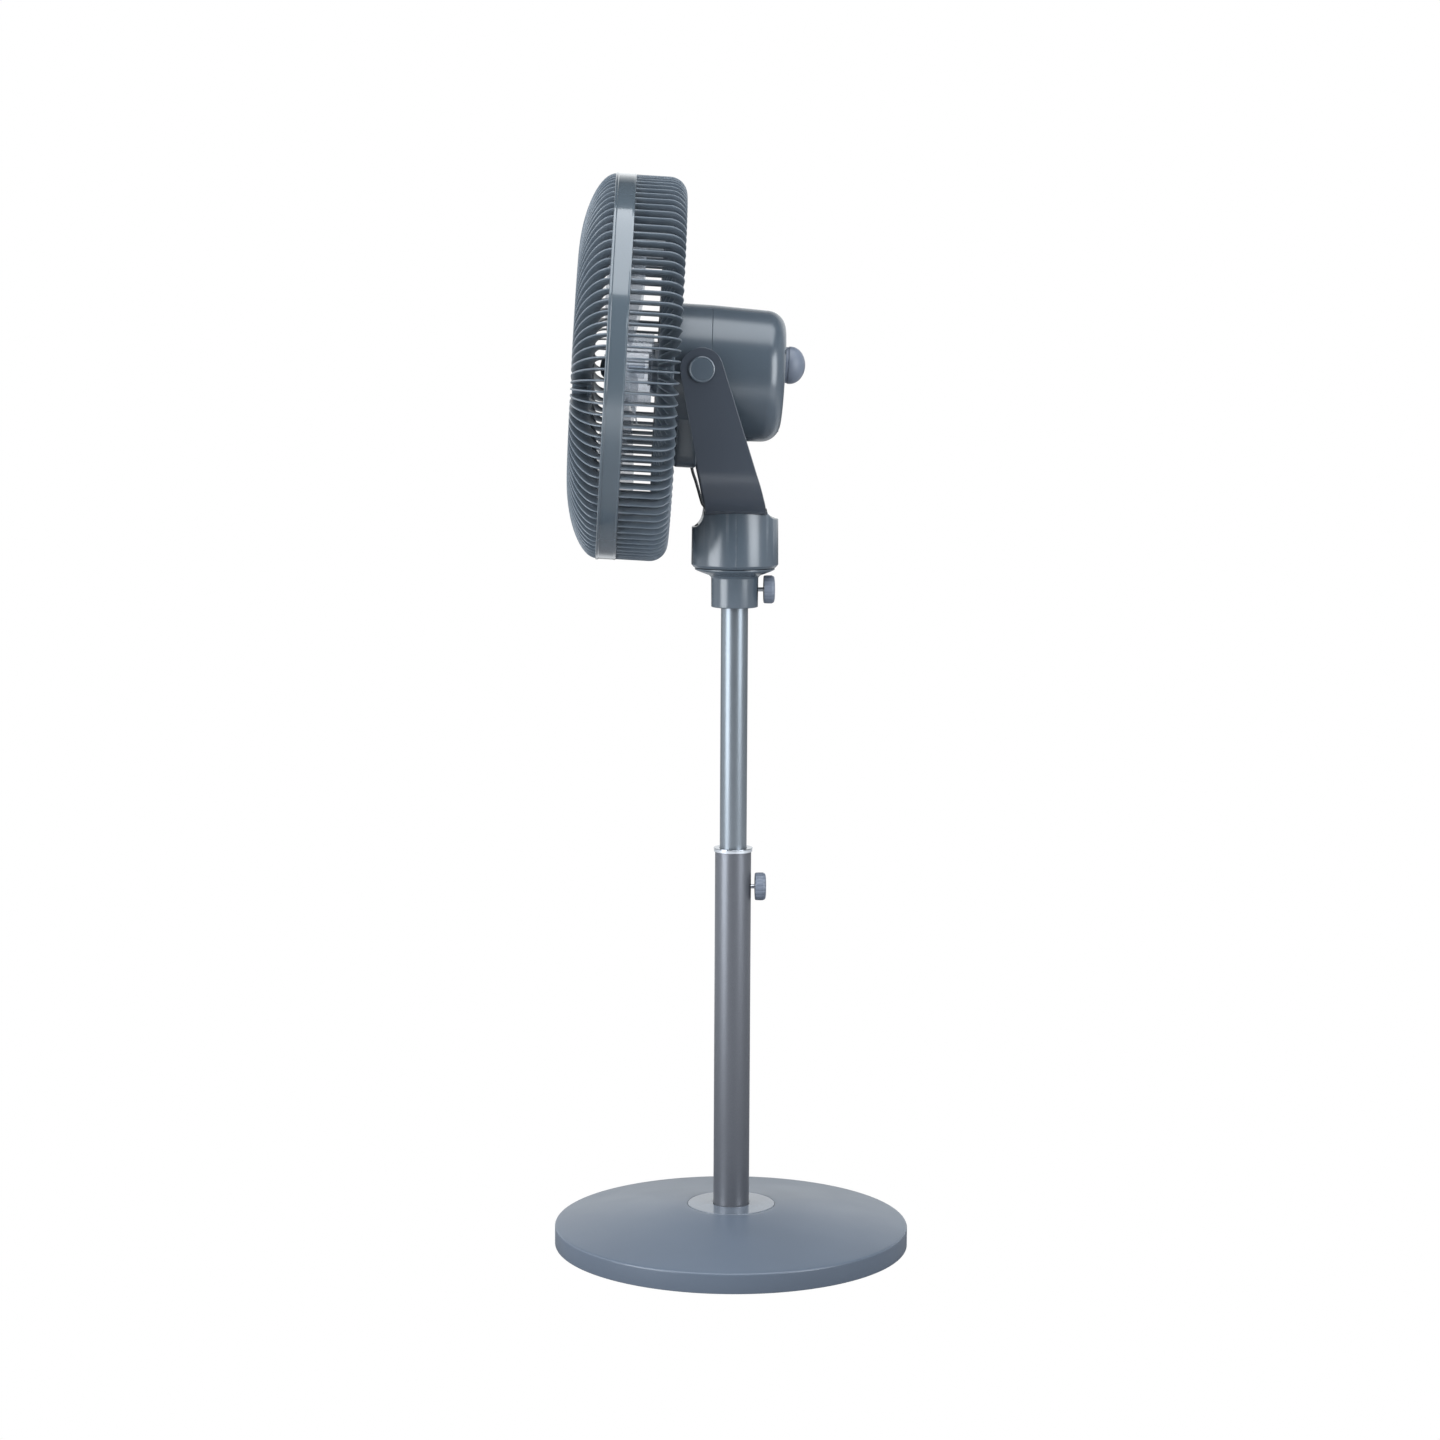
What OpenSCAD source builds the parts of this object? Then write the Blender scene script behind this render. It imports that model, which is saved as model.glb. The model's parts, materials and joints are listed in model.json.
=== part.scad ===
// Pedestal fan: a round base, a telescopic mast, a swinging yoke and a tilting caged head.
// The floor is z = 0, the pole axis is the z axis and the fan blows towards -y.

/* [Stand] */
// Radius of the round base
base_r = 204.5; // [196:0.5:210]
// Height of the base rim
rim_h = 25.5; // [22:0.5:28]
// Height of the base cover at its inset disc
crown_h = 47.8; // [45:0.2:50]
// Outer radius of the lower tube
outer_tube_r = 20.7; // [20.5:0.1:20.8]
// Top of the lower tube above the floor
outer_tube_top = 461; // [459:0.5:461]
// Outer radius of the sliding tube
inner_tube_r = 15.4; // [15.2:0.1:15.45]
// Height of the lower clamp knob above the floor
low_knob_z = 421; // [410:1:430]

/* [Neck] */
// Underside of the neck socket above the floor, stand as drawn
socket_z = 743; // [740:1:744]
// Outer radius of the neck socket
socket_r = 26.5; // [25:0.5:28]
// Height of the upper clamp knob
up_knob_z = 763; // [760:1:765]
// Radius of the clamp knobs
knob_r = 16; // [14:0.5:17]
// Radius of the swivel cup at its lower edge
cup_r = 49.5; // [49:0.1:50]

/* [Yoke] */
// Thickness of the bent steel strap
strap_t = 3; // [2.5:0.1:3]
// Outer face of each arm, from the middle
arm_x = 85; // [85:0.1:85.3]
// Radius of the rounded arm end
arm_end_r = 24; // [22:0.5:24]

/* [Head] */
// Height of the tilt axis
tilt_z = 1012; // [1008:1:1014]
// Tilt axis in front of the pole axis
tilt_fwd = 40.5; // [40:0.1:41]
// Upward tilt of the head as drawn, degrees
tilt_up = 3.1; // [2:0.1:4]
// Fan axis below the tilt axis
axis_drop = 4.5; // [4:0.1:5]
// Outer radius of the guard
guard_r = 215; // [214:0.5:215]
// Number of radial ribs in each guard half
ribs = 109; // [73:36:109]
// Rib thickness
rib_t = 2; // [1.6:0.1:2]
// Number of fan blades
blades = 5; // [3:1:6]
// Tip radius of the blades
blade_r = 193; // [180:1:195]

/* [Hidden] */
$fn = 96;

// Stand and mast
seat_r = 50.5;      // recess for the inset disc
cover_t = 2.4;      // wall of the base cover
inlet_z = 13;       // axis of the power inlet
bushing_r = 19.4;   // parts that slide in the lower tube
clamp_r = 2.4;      // clamp screw
swivel_r = 12;      // spigot the yoke turns on
gear_m = 1;         // gear module
gear_teeth = 36;
pinion_teeth = 12;
pinion_y = gear_m*(gear_teeth+pinion_teeth)/2;
swing_y = pinion_y-8;   // axis of the swing motor body

// Yoke
web_z = 849.2;      // underside of the strap's flat web
bend_r = 53;        // outer radius of the strap's bends
bend_x = arm_x-bend_r;
bend_z = web_z+bend_r;
lead_y = -24;       // axis of the lead through cup and strap
cup_gap = 0.06;     // each cup half stops this far from the joint plane

// Head, distances along the fan axis ahead of the tilt axis
seam_z = -14;       // seam between motor housing and rear cover
rear_z = -93.7;     // rear face of the motor cover
band_b = 83.2;      // rear edge of the guard band
band_f = 105.7;     // front edge of the guard band
face_z = 142.7;     // front face of the guard
rib_in = 120;       // inner edge of the front ribs near the middle
rib_off = 25;       // distance at which the front ribs pass the fan axis
rib_phase = 0.07;   // where the first rib stands, as a share of the rib pitch
nose_r = 18;        // housing nose that carries the guard
shaft_r = 4;
bearing_r = 11;
switch_y = 14;      // switch axis above the fan axis
pin_z = 66;         // drive pin through the shaft

// ---------------------------------------------------------------- frames and helpers
// Frame of the tilting head: origin on the tilt axis
module head_frame() translate([0,-tilt_fwd,tilt_z]) rotate([-tilt_up,0,0]) children();
// Frame of the fan: z runs forward along the fan axis from the tilt axis, y runs up
module fan_frame() head_frame() translate([0,0,-axis_drop]) rotate([90,0,0]) children();

module disc(radius, z0, z1) translate([0,0,z0]) cylinder(r=radius, h=z1-z0);
// Ring with a plain bore
module ring(radius, bore, z0, z1) difference() {
  disc(radius, z0, z1);
  disc(bore, z0-1, z1+1);
}
// Rod along +y from y0 to y1 at height z
module rod_y(radius, y0, y1, z) translate([0,y0,z]) rotate([-90,0,0]) cylinder(r=radius, h=y1-y0);
module around(count, radius, start=0)
  for(i=[0:count-1]) rotate([0,0,start+i*360/count]) translate([radius,0,0]) children();
// Points of an elliptical arc
function arc(center, rad_x, rad_y, angles) =
  [for(a=angles) center+[rad_x*cos(a),rad_y*sin(a)]];

// Places that several pieces share
module at_base_screws() around(6,170,30) children();
module at_pole_bolts() around(4,31,45) children();
module at_strap_screws() for(x=[-20,20], y=[-16,16]) translate([x,y,0]) children();
module at_swing_screws() for(side=[-1,1]) translate([side*17.3,swing_y,0]) children();
// Cup joint screws: z turned to the front by 90, to the rear by -90
module at_cup_joints(turn)
  for(side=[-1,1]) translate([side*38,0,808]) rotate([turn,0,0]) children();
// Tilt axis, z pointing outwards on each side: on the yoke, then on the head
module at_yoke_pivots()
  for(side=[-1,1]) translate([0,-tilt_fwd,tilt_z]) rotate([0,side*90,0]) children();
module at_head_pivots() for(side=[-1,1]) head_frame() rotate([0,side*90,0]) children();
// Screw circles of the motor, in the fan frame
module at_cover_screws() around(3,56,30) children();
module at_mount_screws() around(4,60,45) children();
module at_tie_screws() around(4,48,0) children();
module at_coil_slots() around(8,39,22.5) children();

// ---------------------------------------------------------------- stand
// Height of the base cover's upper face at radius r
function crown(r) = let(edge_z=rim_h-0.6)
  edge_z + (crown_h-edge_z)*(1-pow(max(0,(r-seat_r)/(base_r-2-seat_r)),1.18));
// Station 0 to 14 between the inset disc's recess and radius outer
function cover_r(i, outer) = seat_r+(outer-seat_r)*i/14;
module base_cover() color([0.40,0.44,0.49]) difference() {
  union() {
    rotate_extrude($fn=200) polygon(concat(
      [[21.3,crown_h-4.4],[21.3,crown_h-2.2],[seat_r,crown_h-2.2]],
      [for(i=[0:14]) let(r=cover_r(i,base_r-3.2)) [r,crown(r)]],
      arc([base_r-cover_t,rim_h-3.2],cover_t,cover_t,[60:-30:0]),
      [[base_r,1.5],[base_r-cover_t,1.5],[base_r-cover_t,rim_h-4]],
      [for(i=[14:-1:0]) let(r=cover_r(i,base_r-8)) [r,crown(r)-cover_t-(i==0?2:0)]]));
    at_base_screws() disc(5,6,crown(170)-1.2);
  }
  at_base_screws() disc(2.05,5,17);
  rod_y(6.1,base_r-8,base_r+2,inlet_z);
}
module base_inset_disc() color([0.45,0.48,0.53]) rotate_extrude($fn=160)
  polygon([[20.9,crown_h-2.1],[seat_r-0.2,crown_h-2.1],[seat_r-0.2,crown_h-0.3],
    [49.8,crown_h+0.1],[23,crown_h+0.9],[20.9,crown_h+0.5]]);
module ballast_plate() color([0.35,0.35,0.37]) difference() {
  disc(130,6.2,12.2);
  at_pole_bolts() disc(3.1,5,14);
  disc(8,5,14);
}
module base_bottom_plate() color([0.15,0.16,0.17]) difference() {
  disc(base_r-2.6,3.1,5.8);
  at_base_screws() disc(2.2,2,8);
  at_pole_bolts() disc(6,2,8);
}
module rubber_feet() color([0.08,0.08,0.08])
  around(6,182) rotate_extrude() polygon([[0,0],[10.5,0],[12,1],[12,3],[0,3]]);
module base_screws() color("silver") at_base_screws() {
  disc(4,1.7,3);
  disc(2,2.9,15);
}
// Plug with a ring-shaped recess round a centre pin
module power_inlet() color([0.07,0.07,0.08]) difference() {
  rod_y(6,base_r-16,base_r-0.4,inlet_z);
  difference() {
    rod_y(3,base_r-12,base_r+1,inlet_z);
    rod_y(1,base_r-14,base_r-4,inlet_z);
  }
}
module pole_foot() color([0.5,0.5,0.52]) difference() {
  union() {
    disc(42,12.3,16.3);
    ring(19.3,15,16.2,42);
  }
  at_pole_bolts() disc(3.1,11,18);
  disc(8,11,18);
}
module pole_bolts() color("silver") at_pole_bolts() {
  disc(5,3.4,6.1);
  disc(3,6,20);
  rotate([0,0,30]) translate([0,0,16.4]) cylinder(r=5.6,h=5,$fn=6);
}
module outer_tube() color([0.36,0.38,0.42]) difference() {
  ring(outer_tube_r,19.5,16.4,outer_tube_top);
  rod_y(2.8,10,26,low_knob_z);
}
// Bushing with a square pocket for the clamp nut
module tube_bushing() color([0.85,0.85,0.82]) difference() {
  ring(bushing_r,inner_tube_r+0.1,396,457.6);
  rod_y(2.8,10,24,low_knob_z);
  translate([-4.1,17,low_knob_z-4.1]) cube([8.2,6,8.2]);
}
module height_lock_nut() color([0.8,0.75,0.5]) difference() {
  translate([-4,17.1,low_knob_z-4]) cube([8,1.7,8]);
  rod_y(clamp_r+0.05,15,22,low_knob_z);
}
module chrome_ring() color([0.9,0.9,0.92]) rotate_extrude($fn=128)
  polygon([[outer_tube_r+0.1,458],[21.9,458],[22.3,458.6],[22.3,463.6],[21.9,464.6],[21,465.2],
    [inner_tube_r+0.5,465.2],[inner_tube_r+0.3,464.8],[inner_tube_r+0.3,461.2],
    [outer_tube_r+0.1,461.2]]);
// Coiled supply lead inside the lower tube, drawn as its closed coil
module pole_lead() color([0.1,0.1,0.1]) rotate_extrude($fn=48)
  polygon(concat([[0,46]],[for(i=[0:45]) [6+(i%2)*2.5,46+i*6]],[[0,317]]));
// Clamp screw along +y and its moulded knob
module clamp_screw(z, y0, y1) color([0.75,0.75,0.77]) rod_y(clamp_r,y0,y1,z);
module clamp_knob(z, y0) color([0.42,0.45,0.49]) translate([0,y0,z]) rotate([-90,0,0])
  difference() {
    rotate_extrude($fn=96) polygon(concat(
      [[0,0],[4.5,0],[5,1.6],[knob_r-2.4,1.6],[knob_r-1.4,0.2],[knob_r-0.6,0.6]],
      arc([knob_r-3.2,9.8],3.2,3.2,[0:15:90]),[[0,12.4]]));
    disc(clamp_r+0.05,-1,9.1);
  }
module height_lock_screw() clamp_screw(low_knob_z,15.55,34);
module height_lock_knob() clamp_knob(low_knob_z,25);

// ---------------------------------------------------------------- sliding mast
module inner_tube() color([0.62,0.66,0.69]) ring(inner_tube_r,14.2,330,776);
module tube_stop() color([0.8,0.8,0.78]) ring(19.2,inner_tube_r+0.05,332,348);
module neck_socket() color([0.38,0.42,0.46]) difference() {
  rotate_extrude($fn=128) polygon([[inner_tube_r+0.1,socket_z],[socket_r-0.8,socket_z],
    [socket_r,socket_z+0.8],[socket_r+0.3,778],[socket_r+1.5,780],[34,783],[41,785.6],
    [44.6,787.2],[44.8,788],[44.8,790],[swivel_r,790],[swivel_r,806.5],[6,806.5],[6,776.5],
    [inner_tube_r+0.1,776.5]]);
  rod_y(4.1,16,24,up_knob_z);
  rod_y(2.6,10,40,up_knob_z);
}
module neck_insert() color([0.8,0.65,0.35]) difference() {
  rod_y(4,16.4,23.9,up_knob_z);
  rod_y(clamp_r+0.05,14,26,up_knob_z);
}
module neck_lock_screw() clamp_screw(up_knob_z,15.55,41);
module neck_lock_knob() clamp_knob(up_knob_z,32.7);
module swivel_washer() color([0.1,0.1,0.1]) ring(40,swivel_r+0.08,790.1,792.9);
// Involute of an angle, in degrees
function inv(a) = tan(a)*180/PI - a;
// Gear outline; each tooth point is [flank side, step], step 0 on the root circle
function gear_points(teeth, root_r, tip_r, thin) =
  let(involute_r=teeth*gear_m/2*cos(20), half_tooth=90/teeth-thin)
  [for(i=[0:teeth-1]) for(p=[[-1,0],[-1,1],[-1,2],[-1,3],[1,3],[1,2],[1,1],[1,0]])
    let(r=p[1]==0 ? root_r
        : max(involute_r+0.001,involute_r+(tip_r-involute_r)*(p[1]-1)/2),
      half=half_tooth+inv(20)-(p[1]==0 ? 0 : inv(acos(involute_r/r))),
      turn=i*360/teeth+p[0]*half)
    [r*cos(turn),r*sin(turn)]];
module swivel_gear() color([0.9,0.9,0.86]) difference() {
  translate([0,0,797.4]) linear_extrude(5)
    rotate(90+180/gear_teeth) polygon(gear_points(gear_teeth,16.7,18.85,0.35));
  disc(swivel_r+0.1,795,805);
}
module swivel_nut() color("silver") difference() {
  translate([0,0,802.6]) cylinder(r=15.5,h=3.6,$fn=6);
  disc(swivel_r+0.05,800,808);
}

// ------------------------------------------------- swivel cup and yoke (turn on the mast)
// Side outline [y, z] of the cup, front on the left: low front shoulder, higher rear
// shoulder, concave run up to the strap
function cup_side() = concat([[-60,790],[-60,834],[-48.2,834]],
  arc([-48.2,853.3],12.4,19.3,[-75:15:-15]), [[-35.8,853.8],[34.4,855.4]],
  arc([48.2,855.4],-13.6,12.4,[-15:-15:-75]), [[48.2,843],[60,843],[60,790]]);
// Bends and web of the strap seen from the front, grown outwards by gap
module strap_bends(gap) {
  for(side=[-1,1]) translate([side*bend_x,bend_z]) circle(r=bend_r+gap,$fn=180);
  translate([-bend_x,web_z-gap]) square([2*bend_x,60]);
}
module strap_profile() difference() {
  union() {
    translate([-arm_x,bend_z]) square([2*arm_x,220]);
    strap_bends(0);
  }
  union() {
    translate([-arm_x+strap_t,bend_z]) square([2*(arm_x-strap_t),240]);
    strap_bends(-strap_t);
  }
}
module cup_solid() difference() {
  intersection() {
    rotate_extrude($fn=180) polygon([[swivel_r+0.08,793],[42,793],[47.6,794.6],[49.1,796],
      [cup_r,797.5],[48.7,858],[swivel_r+0.08,858]]);
    translate([-60,0,0]) rotate([90,0,90]) linear_extrude(120) polygon(cup_side());
  }
  rotate_extrude($fn=120) polygon([[12,797],[46.2,797],[45.8,837],[12,837]]);
  // seat for the strap
  translate([0,34.3,0]) rotate([90,0,0]) linear_extrude(70) intersection() {
    strap_bends(0.15);
    translate([-60,830]) square([120,60]);
  }
  at_strap_screws() disc(2.05,830,860);
  translate([0,lead_y,0]) disc(2.8,830,860);
}
module cup_half(front) difference() {
  union() {
    intersection() {
      cup_solid();
      translate([-70,front?-70:cup_gap,780]) cube([140,70-cup_gap,80]);
    }
    // inner bosses for the two joining screws
    intersection() {
      at_cup_joints(front?90:-90) disc(4,cup_gap,32+cup_gap);
      disc(47.5,800,816);
    }
    // posts that carry the swing motor
    if(!front) at_swing_screws() disc(3,796.5,807.1);
  }
  if(!front) at_swing_screws() disc(1.25,799,809);
  at_cup_joints(front?90:-90) disc(1.6,-1,front?14:59);
  if(!front) at_cup_joints(-90) disc(3.2,16,76);
}
module cup_front_half() color([0.36,0.40,0.44]) cup_half(true);
module cup_rear_half() color([0.36,0.40,0.44]) cup_half(false);
// Joint screws and the screws of the swing motor
module cup_screws() color("silver") {
  at_cup_joints(90) disc(1.55,-18,12);
  at_cup_joints(-90) disc(2.8,16.1,18.1);
  at_swing_screws() {
    disc(1.2,800.5,808.5);
    disc(2.4,808.3,809.7);
  }
}
// Side outline [y, z] of the strap arms, leaning forward from the cup and narrowing upwards
function arm_side() = [
  [-tilt_fwd-arm_end_r*cos(10),tilt_z-arm_end_r*sin(10)],
  [-46.6,914],[-42.6,895],[-38.6,876],[-35.6,858],[-34.3,840],
  [33.6,840],[32.0,856],[28.7,869.5],[25.2,883],[21.4,896],[17.4,910],[12.8,924],
  [-tilt_fwd+arm_end_r*cos(17),tilt_z+arm_end_r*sin(17)]];
// Rod along the tilt axis through both arms
module pivot_rod(radius)
  translate([-100,-tilt_fwd,tilt_z]) rotate([0,90,0]) cylinder(r=radius,h=200);
module yoke_strap() color([0.27,0.30,0.34]) difference() {
  intersection() {
    translate([0,60,0]) rotate([90,0,0]) linear_extrude(160) strap_profile();
    union() {
      translate([-100,0,0]) rotate([90,0,90]) linear_extrude(200) polygon(arm_side());
      pivot_rod(arm_end_r,$fn=120);
    }
  }
  pivot_rod(4.08);
  at_strap_screws() disc(2.3,830,860);
  translate([0,lead_y,0]) disc(5,830,860);
}
module yoke_screws() color("silver") at_strap_screws() {
  disc(2,838,web_z+3.2);
  disc(3.9,web_z+strap_t+0.1,web_z+strap_t+2.1);
}
// Small geared stepper that swings the cup round the fixed gear
module swing_motor() color([0.75,0.76,0.78]) difference() {
  union() {
    translate([0,swing_y,0]) disc(14,807.2,826);
    translate([-20.7,swing_y-3.5,807.2]) cube([41.4,7,0.8]);
    translate([0,pinion_y,0]) disc(4.5,805.4,808);
  }
  translate([0,pinion_y,0]) disc(2.25,800,812);
  at_swing_screws() disc(1.3,800,810);
}
module swing_pinion() color([0.9,0.9,0.86]) translate([0,pinion_y,0]) {
  translate([0,0,797.6]) linear_extrude(4.8)
    rotate(-90) polygon(gear_points(pinion_teeth,4.75,6.85,1.0));
  disc(2.2,798,811);
}
module pivot_caps() color([0.38,0.42,0.46])
  at_yoke_pivots() translate([0,0,arm_x+0.1]) difference() {
    rotate_extrude($fn=96) polygon([[0,0],[14.5,0],[14.5,1.6],[14.1,2.3],[13.2,2.7],[0,3.3]]);
    disc(9.2,-1,1.9);
  }
module head_lead() color([0.08,0.08,0.09]) translate([0,lead_y,0]) {
  disc(2.6,839,868);
  disc(4.9,web_z-0.05,web_z+strap_t+0.8);
}

// ---------------------------------------------------------------- tilting head
module pivot_bolts() color("silver") at_yoke_pivots() {
  disc(4,66,86);
  disc(8.6,85.15,86.75);
}
module pivot_washers() color([0.1,0.1,0.1]) at_yoke_pivots() ring(17,4.1,79.6,81.9);
// Circle run down into a block with rounded lower corners
module tongue(radius, half_w, depth, corner_r) union() {
  circle(r=radius,$fn=180);
  translate([-half_w+corner_r,-depth]) square([2*(half_w-corner_r),depth]);
  translate([-half_w,-depth+corner_r]) square([2*half_w,depth-corner_r]);
  for(side=[-1,1]) translate([side*(half_w-corner_r),-depth+corner_r]) circle(r=corner_r);
}
module motor_front_housing() color([0.37,0.41,0.45]) difference() {
  union() {
    fan_frame() {
      disc(76,seam_z,44);
      translate([0,0,-1]) linear_extrude(25) tongue(70,42,106.5,18);
      disc(nose_r,43,58);
    }
    at_head_pivots() disc(20,60,79.5);
  }
  fan_frame() {
    disc(73.4,seam_z-1,40.5);
    translate([0,0,1.6]) linear_extrude(19.8) tongue(60,39.4,104,16);
    disc(9,30,70);
    at_mount_screws() {
      disc(1.7,30,60);
      disc(3.4,42,60);
    }
  }
  at_head_pivots() disc(4.05,50,90);
  head_frame() translate([0,-12,0]) disc(2.9,-115,-95);
}
module motor_rear_cover() color([0.37,0.41,0.45]) difference() {
  fan_frame() {
    at_cover_screws() disc(5.6,rear_z+2,rear_z+14);
    rotate_extrude($fn=200) polygon(concat([[0,rear_z],[52,rear_z]],
      arc([52,rear_z+20.6],20.6,20.6,[-75:15:-15]),
      [[72.9,rear_z+22],[76,seam_z-0.5],[73.4,seam_z-0.5],[70.4,rear_z+22]],
      arc([50,rear_z+20.9],18.4,18.4,[-15:-15:-75]),
      [[50,rear_z+2.5],[0,rear_z+2.5]]));
  }
  fan_frame() {
    translate([0,switch_y,0]) disc(5.2,rear_z-2,rear_z+6);
    at_cover_screws() {
      disc(2,rear_z-2,rear_z+20);
      disc(3.9,rear_z-2,rear_z+9);
    }
  }
  at_head_pivots() disc(20.1,58,82);
}
module cover_screws() color("silver") fan_frame() at_cover_screws() {
  disc(1.9,rear_z+9,-35);
  disc(3.6,rear_z+6,rear_z+8.9);
}
module motor_front_plate() color([0.7,0.71,0.72]) fan_frame() difference() {
  union() {
    disc(56,21,24.5);
    disc(15,24,31);
    at_mount_screws() disc(6,36.2,40.4);
    around(4,58,45) disc(8,21,24.5);
    at_mount_screws() disc(5,21,40.4);
  }
  disc(bearing_r+0.05,20,27.9);
  disc(6,19,33);
  at_mount_screws() disc(1.7,15,50);
  at_tie_screws() disc(2.1,15,30);
}
module motor_rear_plate() color([0.7,0.71,0.72]) fan_frame() difference() {
  union() {
    disc(56,-38,-34.5);
    disc(15,-45,-38);
    at_cover_screws() disc(4,-38.2,-34.5);
  }
  disc(bearing_r+0.05,-41.9,-34);
  disc(6,-50,-33);
  at_cover_screws() disc(1.95,-60,-30);
  at_tie_screws() disc(2.1,-60,-30);
}
module stator_core() color([0.45,0.45,0.47]) fan_frame() difference() {
  disc(52,-22,6);
  disc(26.2,-23,7);
  at_tie_screws() disc(2.1,-24,8);
  at_coil_slots() disc(6,-24,8);
}
// A winding head at each end of the stator, joined through the slots
module windings() color([0.72,0.40,0.2]) fan_frame() {
  for(z=[-32,6.3]) rotate_extrude($fn=96) translate([0,z])
    polygon([[29,1.5],[30.5,0],[42,0],[43.5,1.5],[43.5,8],[42,9.5],[30.5,9.5],[29,8]]);
  at_coil_slots() disc(5.6,-23,7);
}
module front_bearing() color("silver") fan_frame() ring(bearing_r,shaft_r+0.02,20.9,27.8);
module rear_bearing() color("silver") fan_frame() ring(bearing_r,shaft_r+0.02,-41.8,-34.9);
module motor_tie_screws() color("silver") fan_frame() at_tie_screws() {
  disc(2,-42,28);
  disc(3.6,24.6,27.4);
  disc(3.6,-41,-38.1);
}
module motor_mount_screws() color("silver") fan_frame() at_mount_screws() {
  disc(1.65,24,42.3);
  disc(3.2,42.1,43.9);
}
module control_board() color([0.1,0.35,0.2]) fan_frame() union() {
  translate([-36,-52,-60]) cube([72,40,1.6]);
  translate([-22,-44,-58.4]) cube([30,18,12]);
  translate([18,-40,-58.4]) cylinder(r=6,h=14);
}
module speed_switch() color([0.15,0.15,0.16]) fan_frame() translate([0,switch_y,0])
  difference() {
    disc(13,-87,-74);
    disc(3.05,-90,-77);
  }
// Knob and its stem, turned to point backwards
module speed_knob() color([0.42,0.46,0.52])
  fan_frame() translate([0,switch_y,0]) mirror([0,0,1]) difference() {
    rotate_extrude($fn=96) polygon(concat([[3,94.6],[19.4,94.6],[20.2,95.4],[20.6,98.5]],
      arc([0,101],21,17.2,[0:10:80]),[[0,118.2],[0,78],[3,78],[3,94.6]]));
    translate([0,-21,98.4]) rotate([90,0,0]) cylinder(r=1.5,h=14,center=true);
  }

// ---------------------------------------------------------------- guard
function rib_angle(i) = (i+rib_phase)*360/ribs;
// Outer face of the front guard at radius r, and the ribs' inner edge
function face_at(r) = r<=125 ? face_z-3*pow(1-r/125,2)
  : band_f+(face_z-band_f)*pow(max(0,1-pow((r-125)/(guard_r-125),1.85)),1/1.85);
function inner_at(r) = r<=140 ? rib_in : min(face_at(r)-9,
  band_f-4+(rib_in-band_f+4)*pow(max(0,1-pow((r-140)/(guard_r-149),2.2)),1/2.2));
// The front ribs lie along lines that pass the fan axis at a distance
function along(r) = sqrt(r*r-rib_off*rib_off);
module front_rib(start) translate([0,-rib_off,0]) rotate([90,0,0])
  linear_extrude(rib_t,center=true) polygon(concat(
    [for(r=[start,125,145,163,180,195,207,213]) [along(r),face_at(r)]],
    [[along(guard_r),band_f+1.6],[along(guard_r),band_f+0.1],[along(guard_r-2.7),band_f+0.1],
      [along(guard_r-2.7),band_f-4],[along(guard_r-9),band_f-4]],
    [for(r=[guard_r-9.5,198,186,168,152,140,start]) [along(r),inner_at(r)]]));
module front_guard() color([0.34,0.39,0.44]) fan_frame() {
  // every other rib runs in to the centre ring
  for(i=[0:ribs-1]) rotate([0,0,rib_angle(i)]) front_rib(i%2==0 && i<ribs-1 ? 50 : 112);
  ring(guard_r-2.4,guard_r-6,95,104.9);
  rotate_extrude($fn=128) polygon([[42,131.5],[46.4,131.5],[46.4,rib_in-0.5],
    [51.5,rib_in-0.5],[51.5,face_at(50)+0.3],[46.4,face_at(50)+0.3],[46.4,134.8],[42,134.8]]);
  ring(114,111,rib_in-0.3,rib_in+4);
}
module rear_rib(start) rotate([90,0,0]) linear_extrude(rib_t,center=true) polygon(concat(
  [[start,38],[guard_r-20,25.5]],
  arc([guard_r-20,45.5],20,20,[-75:15:-15]),
  [[guard_r,45.5],[guard_r,band_b-0.1],[guard_r-2.3,band_b-0.1],[guard_r-2.3,86],
    [guard_r-10,86],[guard_r-10,48]],
  arc([guard_r-20,45.5],10,10,[-15:-25:-65]),
  [[guard_r-24,37],[140,48],[start,48]]));
module rear_guard() color([0.34,0.39,0.44]) fan_frame() {
  for(i=[0:ribs-1]) rotate([0,0,rib_angle(i)]) rear_rib(78.2);
  ring(guard_r-2.4,guard_r-6,84.4,94.8);
  ring(80.5,nose_r+0.2,44.2,47.2);
  ring(80.5,77.5,38.4,48.4);
  ring(146,143,31.2,35);
}
module guard_nut() color([0.34,0.38,0.42]) fan_frame() difference() {
  union() {
    disc(30,47.4,52);
    around(6,29) disc(4,47.4,55);
    disc(24,51.9,55);
  }
  disc(nose_r+0.1,40,60);
}
module guard_band() color([0.45,0.50,0.54]) fan_frame() rotate_extrude($fn=240)
  polygon([[guard_r-2.2,band_b],[guard_r+0.6,band_b],[guard_r+1,band_b+0.6],
    [guard_r+0.6,band_b+2],[guard_r+0.6,band_f-3.4],[guard_r+1.4,band_f-2.6],
    [guard_r+1.4,band_f-0.5],[guard_r+0.9,band_f],[guard_r-2.2,band_f]]);
module guard_centre_disc() color([0.38,0.42,0.46]) fan_frame() rotate_extrude($fn=128)
  polygon([[0,136.2],[46,135],[46.2,135.6],[46.2,138],[45.4,138.9],[40,139.6],[20,140.3],
    [0,140.6]]);

// ---------------------------------------------------------------- spinning parts
// Rod across the shaft at the drive pin
module cross_rod(radius, half_length)
  translate([0,0,pin_z]) rotate([0,90,0]) disc(radius,-half_length,half_length);
module motor_shaft() color("silver") fan_frame() difference() {
  disc(shaft_r,-52,108);
  cross_rod(1.55,6);
}
module rotor_core() color([0.6,0.6,0.62]) fan_frame() ring(25.7,shaft_r+0.05,-22,6);
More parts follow.
